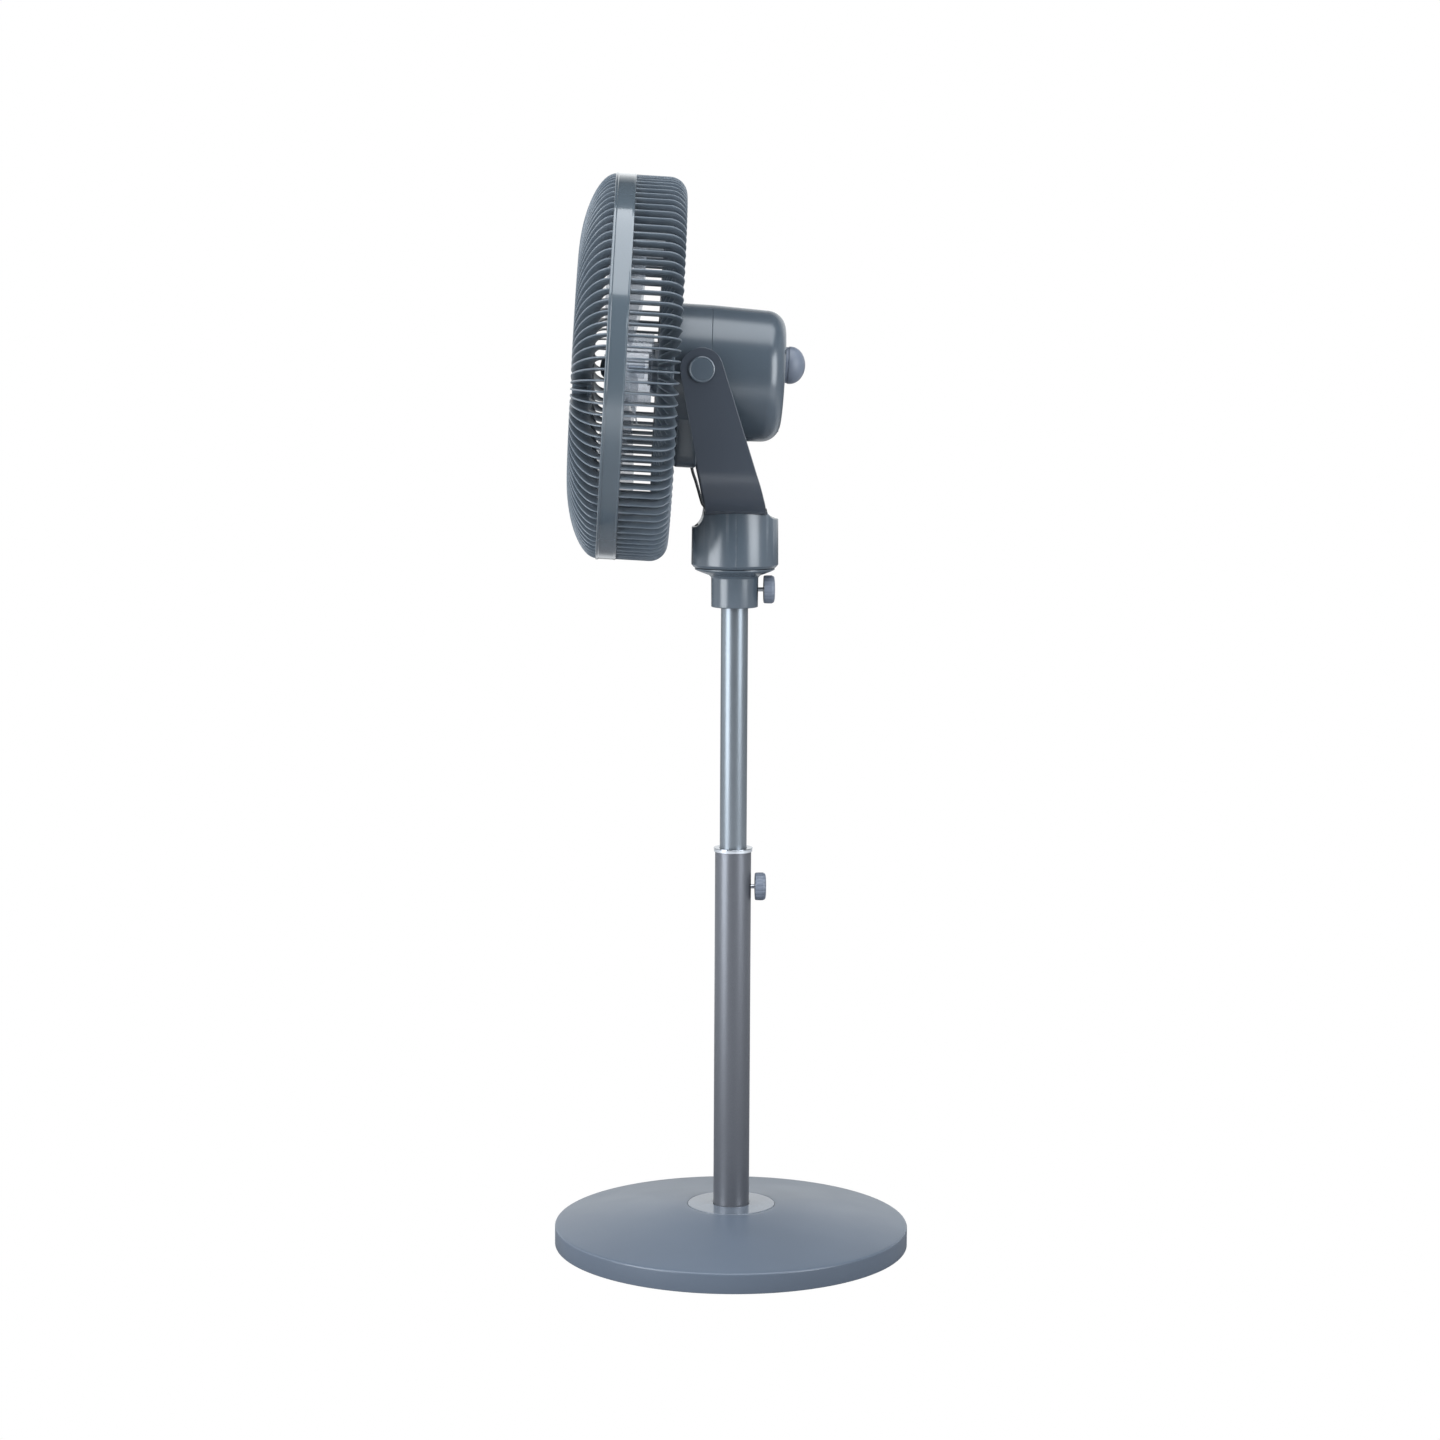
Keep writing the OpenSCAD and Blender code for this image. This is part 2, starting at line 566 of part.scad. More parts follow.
// Blade outline seen along the fan axis, and the curved sheet it is cut from
module blade_outline() intersection() {
  difference() {
    circle(r=blade_r,$fn=180);
    circle(r=36.6,$fn=96);
  }
  difference() {
    translate([88,-6]) circle(r=117,$fn=160);
    translate([96,-96]) circle(r=100,$fn=160);
  }
  translate([0,-20]) square([260,160]);
}
module blade() intersection() {
  translate([0,0,53.5]) linear_extrude(58) blade_outline();
  translate([0,0,83]) rotate([0,0,8]) rotate([20,0,0]) translate([0,12,-150])
    rotate([0,90,0]) difference() {
      cylinder(r=152,h=260,$fn=180);
      translate([0,0,-1]) cylinder(r=149.8,h=262,$fn=180);
    }
}
module fan_blades() color([0.75,0.8,0.85,0.5]) fan_frame() difference() {
  union() {
    for(i=[0:blades-1]) rotate([0,0,i*360/blades]) blade();
    // hub
    rotate_extrude($fn=128) polygon([[0,94],[30,94],[36,91],[38,86],[38,64],[35.6,64],
      [35.6,85],[34,88.6],[29,91.4],[11,91.4],[11,62],[0,62]]);
  }
  disc(shaft_r+0.06,50,120);
  cross_rod(1.65,8.2);
}
module drive_pin() color("silver") fan_frame() cross_rod(1.5,8);
module blade_nut() color([0.2,0.22,0.24]) fan_frame() difference() {
  rotate_extrude($fn=96)
    polygon([[0,94.2],[17,94.2],[17,98],[15,104],[10,109.5],[4,112],[0,112.4]]);
  disc(shaft_r+0.06,90,108.6);
}

base_cover();
base_inset_disc();
ballast_plate();
base_bottom_plate();
rubber_feet();
base_screws();
power_inlet();
pole_foot();
pole_bolts();
outer_tube();
tube_bushing();
chrome_ring();
height_lock_nut();
pole_lead();
height_lock_screw();
height_lock_knob();
inner_tube();
tube_stop();
neck_socket();
neck_insert();
swivel_washer();
swivel_gear();
swivel_nut();
neck_lock_screw();
neck_lock_knob();
cup_front_half();
cup_rear_half();
cup_screws();
yoke_strap();
yoke_screws();
swing_motor();
swing_pinion();
pivot_caps();
head_lead();
pivot_bolts();
pivot_washers();
motor_front_housing();
motor_rear_cover();
cover_screws();
motor_front_plate();
motor_rear_plate();
stator_core();
windings();
front_bearing();
rear_bearing();
motor_tie_screws();
motor_mount_screws();
control_board();
speed_switch();
speed_knob();
rear_guard();
guard_nut();
guard_band();
front_guard();
guard_centre_disc();
motor_shaft();
rotor_core();
fan_blades();
drive_pin();
blade_nut();
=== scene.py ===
# A pedestal fan. It stands on the floor (z = 0) with its pole on the z axis and blows
# towards -y. The stand carries a telescopic mast, a swivel cup and a bent strap yoke; the
# head tilts in the yoke about a pivot line parallel to x.
# Shapes are written in millimetres and built in metres.
import bpy, bmesh, json, math
from math import pi, sin, cos, radians
from mathutils import Vector, Matrix

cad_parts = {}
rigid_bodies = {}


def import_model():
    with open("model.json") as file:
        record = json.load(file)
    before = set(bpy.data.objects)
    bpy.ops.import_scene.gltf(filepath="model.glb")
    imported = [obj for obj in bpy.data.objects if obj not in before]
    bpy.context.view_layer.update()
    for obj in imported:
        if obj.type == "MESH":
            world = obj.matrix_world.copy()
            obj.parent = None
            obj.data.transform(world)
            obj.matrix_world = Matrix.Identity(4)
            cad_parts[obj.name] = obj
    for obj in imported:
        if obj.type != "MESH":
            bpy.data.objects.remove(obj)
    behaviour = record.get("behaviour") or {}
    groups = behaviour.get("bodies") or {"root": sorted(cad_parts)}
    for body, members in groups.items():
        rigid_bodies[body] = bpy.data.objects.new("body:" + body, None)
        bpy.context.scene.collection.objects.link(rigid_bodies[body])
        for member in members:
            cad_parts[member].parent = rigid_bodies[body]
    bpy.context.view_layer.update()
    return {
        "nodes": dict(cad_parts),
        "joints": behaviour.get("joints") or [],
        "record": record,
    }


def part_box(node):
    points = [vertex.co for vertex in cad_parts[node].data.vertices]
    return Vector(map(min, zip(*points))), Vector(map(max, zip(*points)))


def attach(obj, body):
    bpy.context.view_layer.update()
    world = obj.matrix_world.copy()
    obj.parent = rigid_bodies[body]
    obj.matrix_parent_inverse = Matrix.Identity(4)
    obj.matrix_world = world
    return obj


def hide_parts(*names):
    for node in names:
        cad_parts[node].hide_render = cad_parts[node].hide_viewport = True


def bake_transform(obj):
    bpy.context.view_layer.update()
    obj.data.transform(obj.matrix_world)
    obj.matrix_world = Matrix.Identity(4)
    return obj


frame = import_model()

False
JOINTS = {joint["name"]: joint for joint in frame["joints"]}
scene = bpy.context.scene
mm = 0.001
X, Y, Z = range(3)
IDENTITY = Matrix.Identity(4)


def shift(x, y, z):
    """Translation in mm."""
    return Matrix.Translation((x * mm, y * mm, z * mm))


def turn(degrees, axis):
    return Matrix.Rotation(radians(degrees), 4, axis)


def around(radius, angle, y=0.0, z=0.0):
    """Translation to a place on a circle about (0, y), in mm."""
    return shift(radius * cos(angle), y + radius * sin(angle), z)


def low(piece, axis):
    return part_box(piece)[0][axis] / mm


def high(piece, axis):
    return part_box(piece)[1][axis] / mm


# ---------------------------------------------------------------- frames, from the joints
PIVOT = Vector(JOINTS["tilt"]["pos_m"])
FORWARD = Vector(JOINTS["blade_spin"]["axis"]).normalized()
TILT = math.atan2(FORWARD.z, -FORWARD.y)
AXIS_DROP = (PIVOT - Vector(JOINTS["blade_spin"]["pos_m"])).length
# tilting head: origin on the pivot line, z up
HEAD = Matrix.Translation(PIVOT) @ Matrix.Rotation(-TILT, 4, "X")
# fan: origin on the blade axis below the pivot, z forward, y up
FAN = HEAD @ Matrix.Translation((0, 0, -AXIS_DROP)) @ turn(90, "X")
REARWARD = turn(-90, "X")  # takes z to +y
SIDES = (("r", 1), ("l", -1))  # name ending and sign of x


# ---------------------------------------------------------------- materials
class Graph:
    """The emptied node tree of a material or world."""

    def __init__(self, owner):
        owner.use_nodes = True
        self.tree = owner.node_tree
        self.tree.nodes.clear()

    def put(self, socket, value):
        """Links an input to another socket, or sets its value."""
        if isinstance(value, bpy.types.NodeSocket):
            self.tree.links.new(value, socket)
        elif socket.type == "RGBA":
            socket.default_value = (*value, 1)
        else:
            socket.default_value = value

    def node(self, kind, inputs=None, **settings):
        node = self.tree.nodes.new("ShaderNode" + kind)
        for key, value in settings.items():
            setattr(node, key, value)
        for key, value in (inputs or {}).items():
            self.put(node.inputs[key], value)
        return node

    def product(self, first, second):
        return self.node("Math", {0: first, 1: second}, operation="MULTIPLY").outputs[0]

    def map_range(self, value, start=0.0, end=1.0, to_start=0.0, to_end=1.0):
        inputs = {0: value, 1: start, 2: end, 3: to_start, 4: to_end}
        return self.node("MapRange", inputs).outputs[0]

    def mix_shader(self, fac, first, second):
        return self.node("MixShader", {0: fac, 1: first, 2: second}).outputs[0]


class Material(Graph):
    """A procedural material around one Principled shader."""

    def __init__(self, name):
        self.material = bpy.data.materials.new(name)
        super().__init__(self.material)
        self.output = self.node("OutputMaterial")
        self.shader = self.node("BsdfPrincipled")
        self.surface(self.shader.outputs[0])
        self.coords = self.node("TexCoord")
        self.normal = None

    def surface(self, shader):
        self.put(self.output.inputs[0], shader)

    def principled(self, inputs):
        for key, value in inputs.items():
            self.put(self.shader.inputs[key], value)

    def mapping(self, scale):
        inputs = {"Scale": scale, "Vector": self.coords.outputs["Object"]}
        return self.node("Mapping", inputs).outputs[0]

    def noise(self, scale, detail, roughness=0.5, stretch=(1, 1, 1)):
        inputs = {"Scale": scale, "Detail": detail, "Roughness": roughness,
                  "Vector": self.mapping(stretch)}
        return self.node("TexNoise", inputs).outputs["Fac"]

    def ramp(self, fac, *stops):
        """Colour ramp through stops of (position, grey or colour)."""
        node = self.node("ValToRGB", {0: fac})
        elements = node.color_ramp.elements
        while len(elements) < len(stops):
            elements.new(0.5)
        for element, (position, value) in zip(elements, stops):
            element.position = position
            element.color = (*value, 1) if isinstance(value, tuple) else (*[value] * 3, 1)
        return node.outputs[0]

    def mid_ramp(self, fac, start=0.0, end=1.0):
        """Ramp over the middle of a noise's range."""
        return self.ramp(fac, (0.3, start), (0.7, end))

    def mix(self, fac, first, second):
        inputs = {0: fac, 6: first, 7: second}
        return self.node("Mix", inputs, data_type="RGBA").outputs[2]

    def bump(self, height, strength, distance):
        """Adds a bump over the ones already there."""
        inputs = {"Strength": strength, "Distance": distance, "Height": height}
        if self.normal is not None:
            inputs["Normal"] = self.normal
        self.normal = self.node("Bump", inputs).outputs[0]
        self.principled({"Normal": self.normal})


def tint(colour, factor):
    return tuple(max(0.0, min(1.0, channel * factor)) for channel in colour)


def plastic(name, colour, rough, grain=2600.0, depth=0.00002, coat=0.0, edge_highlight=0.25,
            rough_range=0.016, specular=0.5):
    """Moulded plastic: mould grain, slow colour drift, uneven sheen, and sharp edges painted
    paler as a painted edge highlight.
    """
    drift = 0.07
    mat = Material(name)
    slow = mat.mid_ramp(mat.noise(scale=7.0, detail=3.0))
    skin = mat.mix(slow, tint(colour, 1 - drift), tint(colour, 1 + drift))
    fleck = mat.ramp(mat.noise(scale=900.0, detail=2.0), (0.35, 0.0), (0.75, 1.0))
    skin = mat.mix(fleck, skin, mat.mix(0.5, skin, tint(colour, 1.06)))
    # sharp edges painted paler in patches: a painted edge highlight
    if edge_highlight:
        pointiness = mat.node("NewGeometry").outputs["Pointiness"]
        edge = mat.ramp(pointiness, (0.515, 0.0), (0.60, 1.0))
        patches = mat.ramp(mat.noise(scale=60.0, detail=4.0), (0.35, 0.2), (0.65, 1.0))
        edge_highlight_mask = mat.product(mat.product(edge, patches), edge_highlight)
        edge_highlight_colour = tint(tuple(0.6 * channel + 0.12 for channel in colour), 1.7)
        skin = mat.mix(edge_highlight_mask, skin, edge_highlight_colour)
    sheen = mat.mid_ramp(mat.noise(scale=20.0, detail=1.0),
                         rough - rough_range, rough + rough_range)
    mat.principled({"Base Color": skin, "Roughness": sheen, "Specular IOR Level": specular})
    if coat:
        mat.principled({"Coat Weight": coat, "Coat Roughness": 0.06})
    mat.bump(mat.noise(scale=grain, detail=2.0, roughness=0.6), strength=0.35, distance=depth)
    mat.bump(mat.noise(scale=30.0, detail=1.0), strength=0.10, distance=0.00006)
    return mat.material


def paint(name, colour, rough, metallic=0.0, peel=420.0, depth=0.00003, drift=0.05,
          specular=0.5, speck=0.25):
    """Coated steel: orange peel and paler specks."""
    mat = Material(name)
    slow = mat.mid_ramp(mat.noise(scale=5.0, detail=2.0))
    skin = mat.mix(slow, tint(colour, 1 - drift), tint(colour, 1 + drift))
    specks = mat.ramp(mat.noise(scale=2400.0, detail=1.0), (0.45, 0.0), (0.72, 1.0))
    skin = mat.mix(specks, skin, tint(colour, 1.0 + speck))
    sheen = mat.mid_ramp(mat.noise(scale=24.0, detail=1.0), rough - 0.012, rough + 0.012)
    mat.principled({"Base Color": skin, "Metallic": metallic, "Roughness": sheen,
                    "Specular IOR Level": specular})
    mat.bump(mat.noise(scale=peel, detail=2.0, roughness=0.45), strength=0.30, distance=depth)
    return mat.material


def metal(name, colour, rough, stretch=(1, 1, 1), scratch=0.25):
    """Bare metal, finely scratched."""
    mat = Material(name)
    grain = mat.noise(scale=260.0, detail=4.0, roughness=0.6, stretch=stretch)
    skin = mat.mix(mat.mid_ramp(grain), tint(colour, 0.9), tint(colour, 1.05))
    sheen = mat.mid_ramp(mat.noise(scale=120.0, detail=4.0, roughness=0.6, stretch=stretch),
                         max(0.02, rough * 0.9), rough * 1.15)
    mat.principled({"Metallic": 1.0, "Base Color": skin, "Roughness": sheen})
    mat.bump(grain, strength=scratch, distance=0.00001)
    return mat.material


def clear_plastic(name, colour, rough):
    """Thin clear resin: seen straight through, with a glossy, wavy, faintly blue skin."""
    mat = Material(name)
    flow = mat.mid_ramp(mat.noise(scale=9.0, detail=3.0, stretch=(1, 1, 3)))
    mat.principled({
        "Base Color": mat.mix(flow, tint(colour, 0.8), colour),
        "Specular IOR Level": 1.0,
        "Roughness": mat.mid_ramp(mat.noise(scale=30.0, detail=3.0), rough, rough + 0.06)})
    mat.bump(mat.noise(scale=24.0, detail=2.0), strength=0.30, distance=0.0006)
    through = mat.node("BsdfTransparent", {0: (0.94, 0.955, 0.975)}).outputs[0]
    facing = mat.node("LayerWeight", {"Blend": 0.35}).outputs["Facing"]
    cover = mat.map_range(facing, to_start=0.13, to_end=0.50)  # how much skin shows
    mat.surface(mat.mix_shader(cover, through, mat.shader.outputs[0]))
    return mat.material


HOUSING = (0.070, 0.089, 0.110)
HOUSING_SHEEN = dict(rough_range=0.014, specular=0.7)
# slot: maker, colour, roughness, options
# the plastics' option that pales sharp edges sets the strength of a painted edge highlight
LOOKS = {
    "base_plastic": (plastic, (0.101, 0.123, 0.157), 0.31, dict(grain=3000, edge_highlight=0.15)),
    "inset_plastic": (plastic, (0.126, 0.147, 0.178), 0.16, dict(
        grain=900, depth=0.000004, coat=0.5, edge_highlight=0.0, rough_range=0.012)),
    "cast_ballast": (metal, (0.12, 0.12, 0.12), 0.7, {}),
    "black_plastic": (plastic, (0.018, 0.019, 0.021), 0.5, {}),
    "rubber": (plastic, (0.015, 0.015, 0.015), 0.82, dict(
        grain=1500, depth=0.00006, edge_highlight=0.0)),
    "zinc_steel": (metal, (0.60, 0.61, 0.63), 0.32, {}),
    "lower_tube_paint": (paint, (0.125, 0.130, 0.145), 0.36, dict(metallic=0.5, speck=0.30)),
    "white_acetal": (plastic, (0.72, 0.72, 0.68), 0.4, dict(edge_highlight=0.0)),
    "chrome": (metal, (0.52, 0.54, 0.57), 0.08, dict(scratch=0.05)),
    "brass": (metal, (0.70, 0.52, 0.22), 0.32, {}),
    "lead_rubber": (plastic, (0.02, 0.022, 0.025), 0.55, dict(grain=1200, edge_highlight=0.0)),
    "knob_plastic": (plastic, (0.13, 0.15, 0.19), 0.42, dict(edge_highlight=0.35)),
    "upper_tube_paint": (paint, (0.17, 0.19, 0.21), 0.34, dict(metallic=0.65, speck=0.35)),
    "housing_plastic": (plastic, HOUSING, 0.25, dict(edge_highlight=0.3, **HOUSING_SHEEN)),
    "strap_paint": (paint, (0.045, 0.053, 0.067), 0.25, dict(
        peel=700, depth=0.00001, specular=0.62, speck=0.08, drift=0.04)),
    "cast_aluminium": (metal, (0.62, 0.63, 0.64), 0.45, {}),
    "core_steel": (metal, (0.26, 0.26, 0.27), 0.4, dict(stretch=(1, 12, 1))),
    "copper": (metal, (0.65, 0.30, 0.13), 0.32, {}),
    "board_green": (plastic, (0.02, 0.12, 0.06), 0.35, dict(edge_highlight=0.0)),
    "guard_plastic": (plastic, (0.078, 0.098, 0.120), 0.30, dict(edge_highlight=0.5)),
    "band_plastic": (plastic, (0.066, 0.084, 0.100), 0.15, dict(
        grain=1200, depth=0.000004, coat=0.9, edge_highlight=0.3, rough_range=0.01)),
    "clear_blade": (clear_plastic, (0.70, 0.74, 0.79), 0.05, {}),
}
MATS = {slot: make("m_" + slot, colour, rough, **options)
        for slot, (make, colour, rough, options) in LOOKS.items()}


# ---------------------------------------------------------------- mesh helpers
def new_mesh(name, bm):
    mesh = bpy.data.meshes.new(name)
    bm.to_mesh(mesh)
    bm.free()
    return mesh


def new_object(name, mesh):
    ob = bpy.data.objects.new(name, mesh)
    scene.collection.objects.link(ob)
    return ob


def solid(name, bm, matrix=IDENTITY):
    """Object from a cleaned mesh."""
    bmesh.ops.remove_doubles(bm, verts=bm.verts, dist=1e-7)
    bmesh.ops.recalc_face_normals(bm, faces=bm.faces)
    mesh = new_mesh(name, bm)
    mesh.transform(matrix)
    return new_object(name, mesh)


def shade(mesh, sharp):
    """Smooth shading, with edges over sharp degrees kept crisp."""
    for polygon in mesh.polygons:
        polygon.use_smooth = True
    mesh.set_sharp_from_angle(angle=radians(sharp))


def assign(ob, body, slot, replaced=None):
    """Gives a piece its material and body, and names the CAD piece it stands in for."""
    ob.data.materials.append(MATS[slot])
    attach(ob, body)
    if replaced:
        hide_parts(replaced)


def piece(name, bm, body, slot, matrix=IDENTITY, replaced=None, sharp=32.0):
    ob = solid(name, bm, matrix)
    shade(ob.data, sharp)
    assign(ob, body, slot, replaced)
    return ob


def fillet(points, closed, seg):
    """Rounds the corners of an outline of (x, z, corner radius); the radius may be left out."""
    out = []
    count = len(points)
    for i, point in enumerate(points):
        radius = point[2] if len(point) > 2 else 0
        if radius <= 0 or (not closed and i in (0, count - 1)):
            out.append((point[0], point[1]))
            continue
        corner = Vector(point[:2])
        back = Vector(points[i - 1][:2]) - corner
        ahead = Vector(points[(i + 1) % count][:2]) - corner
        back_length, ahead_length = back.length, ahead.length
        back.normalize()
        ahead.normalize()
        angle = back.angle(ahead)
        if angle > pi - 0.02 or angle < 0.02:
            out.append((point[0], point[1]))
            continue
        setback = min(radius / math.tan(angle / 2), back_length * 0.49, ahead_length * 0.49)
        radius = setback * math.tan(angle / 2)
        centre = corner + (back + ahead).normalized() * (radius / sin(angle / 2))
        first = corner + back * setback - centre
        last = corner + ahead * setback - centre
        start = math.atan2(first.y, first.x)
        sweep = (math.atan2(last.y, last.x) - start + pi) % (2 * pi) - pi
        for k in range(seg + 1):
            a = start + sweep * k / seg
            out.append((centre.x + radius * cos(a), centre.y + radius * sin(a)))
    return out


def bridge(bm, rings, closed=False):
    """Joins each ring of vertices to the next; a ring of one vertex is a pole."""
    for near, far in zip(rings, rings[1:] + (rings[:1] if closed else [])):
        count = max(len(near), len(far))
        if count == 1:
            continue
        for i in range(count):
            j = (i + 1) % count
            if len(near) == 1:
                bm.faces.new((near[0], far[j], far[i]))
            elif len(far) == 1:
                bm.faces.new((near[i], near[j], far[0]))
            else:
                bm.faces.new((near[i], near[j], far[j], far[i]))


def revolve(bm, profile, closed=True, segs=128, seg=6, matrix=IDENTITY, radius_at=None):
    """Turns a profile of (radius, z, corner radius) about z.

    radius_at(radius, angle), if given, varies the radius round the turn.
    """
    rings = []
    for r, z in fillet(profile, closed, seg):
        if r < 1e-6:
            rings.append([bm.verts.new(matrix @ Vector((0, 0, z * mm)))])
            continue
        ring = []
        for i in range(segs):
            a = 2 * pi * i / segs
            radius = radius_at(r, a) if radius_at else r
            point = Vector((radius * mm * cos(a), radius * mm * sin(a), z * mm))
            ring.append(bm.verts.new(matrix @ point))
        rings.append(ring)
    bridge(bm, rings, closed)


def lathe(name, profile, body, slot, matrix=IDENTITY, replaced=None, closed=True, segs=128,
          seg=6, sharp=32.0, radius_at=None):
    """One turned piece."""
    bm = bmesh.new()
    revolve(bm, profile, closed, segs, seg, radius_at=radius_at)
    return piece(name, bm, body, slot, matrix, replaced, sharp)


def outline_ring(bm, outline, offset, axis):
    """Vertices of a flat outline in mm, at an offset along the axis it leaves out."""
    ring = []
    for point in outline:
        place = [value * mm for value in point]
        place.insert(axis, offset * mm)
        ring.append(bm.verts.new(place))
    return ring


def prism_tool(outline, start, end, axis):
    bm = bmesh.new()
    near = outline_ring(bm, outline, start, axis)
    far = outline_ring(bm, outline, end, axis)
    bm.faces.new(near)
    bm.faces.new(list(reversed(far)))
    for i in range(len(outline)):
        j = (i + 1) % len(outline)
        bm.faces.new((near[i], far[i], far[j], near[j]))
    return solid("tool", bm)


def turned_tool(profile, matrix=IDENTITY, segs=48):
    bm = bmesh.new()
    revolve(bm, profile, False, segs)
    return solid("tool", bm, matrix)


def drill(radius, start, end, matrix, segs=48):
    """Cylindrical tool along z from start to end."""
    profile = [(0, start), (radius, start), (radius, end), (0, end)]
    return turned_tool(profile, matrix, segs)


def add_boolean(ob, other, operation="DIFFERENCE"):
    modifier = ob.modifiers.new("cut", "BOOLEAN")
    modifier.object = other
    modifier.operation = operation
    modifier.solver = "EXACT"


def bake(ob, tools, sharp):
    """Applies an object's modifiers and removes the tools they used."""
    bpy.context.view_layer.update()
    graph = bpy.context.evaluated_depsgraph_get()
    mesh = bpy.data.meshes.new_from_object(ob.evaluated_get(graph))
    ob.modifiers.clear()
    ob.data = mesh
    shade(mesh, sharp)
    for each in tools:
        bpy.data.objects.remove(each)


def cut(ob, tools, sharp=32.0):
    for each in tools:
        add_boolean(ob, each)
    bake(ob, tools, sharp)


def round_rim(bm, offset, segments, profile):
    """Bevels the sharp edges of a plate."""
    bmesh.ops.recalc_face_normals(bm, faces=bm.faces)
    rim = [edge for edge in bm.edges if edge.calc_face_angle(0) > radians(60)]
    bmesh.ops.bevel(bm, geom=rim, offset=offset * mm, segments=segments, profile=profile,
                    affect="EDGES", clamp_overlap=True)


# ---------------------------------------------------------------- stand
BASE_RADIUS = high("base_cover", X)
CROWN = high("base_cover", Z)  # top of the cover
RIM = 25.5                     # height of the cover's outer edge
SEAT = 50.5                    # radius of the recess for the inset disc
SLOPE_STEPS = 22


def crown(r):
    """Height of the cover's sloping top."""
    run = max(0.0, (r - SEAT) / (BASE_RADIUS - (SEAT + 2)))
    return RIM - 0.6 + (CROWN - RIM + 0.6) * (1 - run ** 1.18)


def slope_radii(outer):
    return [SEAT + (outer - SEAT) * i / SLOPE_STEPS for i in range(SLOPE_STEPS + 1)]


underside = [(r, crown(r) - 2.4) for r in slope_radii(BASE_RADIUS - 8)]
underside[-1] = (underside[-1][0], underside[-1][1] - 2.0)
cover = lathe(
    "base_cover_shell",
    [(21.3, CROWN - 4.4), (21.3, CROWN - 2.2), (SEAT, CROWN - 2.2, 0.4)]
    + [(r, crown(r), 0.8 if r == SEAT else 0) for r in slope_radii(BASE_RADIUS - 4.0)]
    + [(BASE_RADIUS, RIM - 1.1, 3.0), (BASE_RADIUS, 1.5, 0.8),
       (BASE_RADIUS - 2.4, 1.5, 0.5), (BASE_RADIUS - 2.4, RIM - 4, 2.0)]
    + underside[::-1],
    "stand", "base_plastic", segs=256, replaced="base_cover", sharp=40)
# round hole through the rear of the cover's wall
cut(cover, [drill(6.1, BASE_RADIUS - 12, BASE_RADIUS + 4, shift(0, 0, 13) @ REARWARD)], 40)
lathe("base_inset_trim",
      [(20.9, CROWN - 2.1), (50.3, CROWN - 2.1), (50.3, CROWN + 0.2, 0.7),
       (46, CROWN + 0.25, 2), (27, CROWN + 0.75, 3), (22.6, CROWN + 0.95, 0.8),
       (20.9, CROWN + 0.4)],
      "stand", "inset_plastic", segs=192, replaced="base_inset_disc")

TUBE = high("outer_tube", X)  # lower tube: radius, foot and top
TUBE_FOOT, TUBE_TOP = low("outer_tube", Z), high("outer_tube", Z)
lathe("lower_tube",
      [(19.5, TUBE_FOOT), (TUBE, TUBE_FOOT, 0.3), (TUBE, TUBE_TOP + 1.5, 0.5),
       (19.5, TUBE_TOP + 1.5, 0.4)],
      "stand", "lower_tube_paint", replaced="outer_tube")
COLLAR_FOOT, COLLAR_TOP = TUBE_TOP + 1.0, high("chrome_ring", Z) + 1.3
lathe("chrome_collar",
      [(TUBE + 0.1, COLLAR_FOOT), (21.9, COLLAR_FOOT, 0.15), (21.9, COLLAR_TOP - 1.0, 0.3),
       (22.4, COLLAR_TOP - 0.9, 0.3), (22.4, COLLAR_TOP, 0.35), (15.9, COLLAR_TOP, 0.5),
       (15.7, COLLAR_TOP - 3.9), (TUBE + 0.1, COLLAR_TOP - 3.9)],
      "stand", "chrome", replaced="chrome_ring", seg=8)

FEET, FEET_CIRCLE = 6, 182.0
bm = bmesh.new()
for i in range(FEET):
    revolve(bm, [(0, 0.0), (9.0, 0.0, 0.5), (9.6, 0.5, 0.3), (11.9, 1.0, 0.6), (12, 3.0),
                 (0, 3.0)],
            False, 40, matrix=around(FEET_CIRCLE, 2 * pi / FEET * i))
piece("rubber_feet_pads", bm, "stand", "rubber", replaced="rubber_feet")

KNOB_RADIUS = 16.0
KNOB_PROFILE = [
    (0, 0.3), (4.3, 0.3), (4.9, 1.7, 0.5), (13.4, 1.7, 0.6), (14.4, 0.25, 0.5),
    (15.2, 0.2, 0.6), (15.75, 1.2, 0.8), (KNOB_RADIUS, 4.5, 2), (KNOB_RADIUS, 9.4, 2.2),
    (14.6, 12.1, 2.4), (11.2, 12.75, 1.6), (10.2, 12.35, 0.5), (0, 12.1)]


def fluted(r, angle):
    """18 finger flutes, 0.42 deep, fading in between radius 13.8 and 15.4."""
    fade = max(0.0, min(1.0, (r - 13.8) / 1.6))
    wave = 0.5 + 0.5 * cos(18 * angle)
    return r - fade * 0.42 * (1 - wave) ** 3


def clamp_knob(name, z, body, replaced):
    """Domed grip with a shallow recess in its inner face and flutes on its rim."""
    lathe(name, KNOB_PROFILE, body, "knob_plastic",
          shift(0, low(replaced, Y), z) @ REARWARD, replaced, closed=False, segs=216, seg=5,
          sharp=35, radius_at=fluted)


NECK_KNOB_Z = JOINTS["neck_knob_turn"]["pos_m"][Z] / mm
clamp_knob("height_clamp_knob", JOINTS["height_knob_turn"]["pos_m"][Z] / mm, "height_knob",
           "height_lock_knob")
clamp_knob("neck_clamp_knob", NECK_KNOB_Z, "neck_knob", "neck_lock_knob")

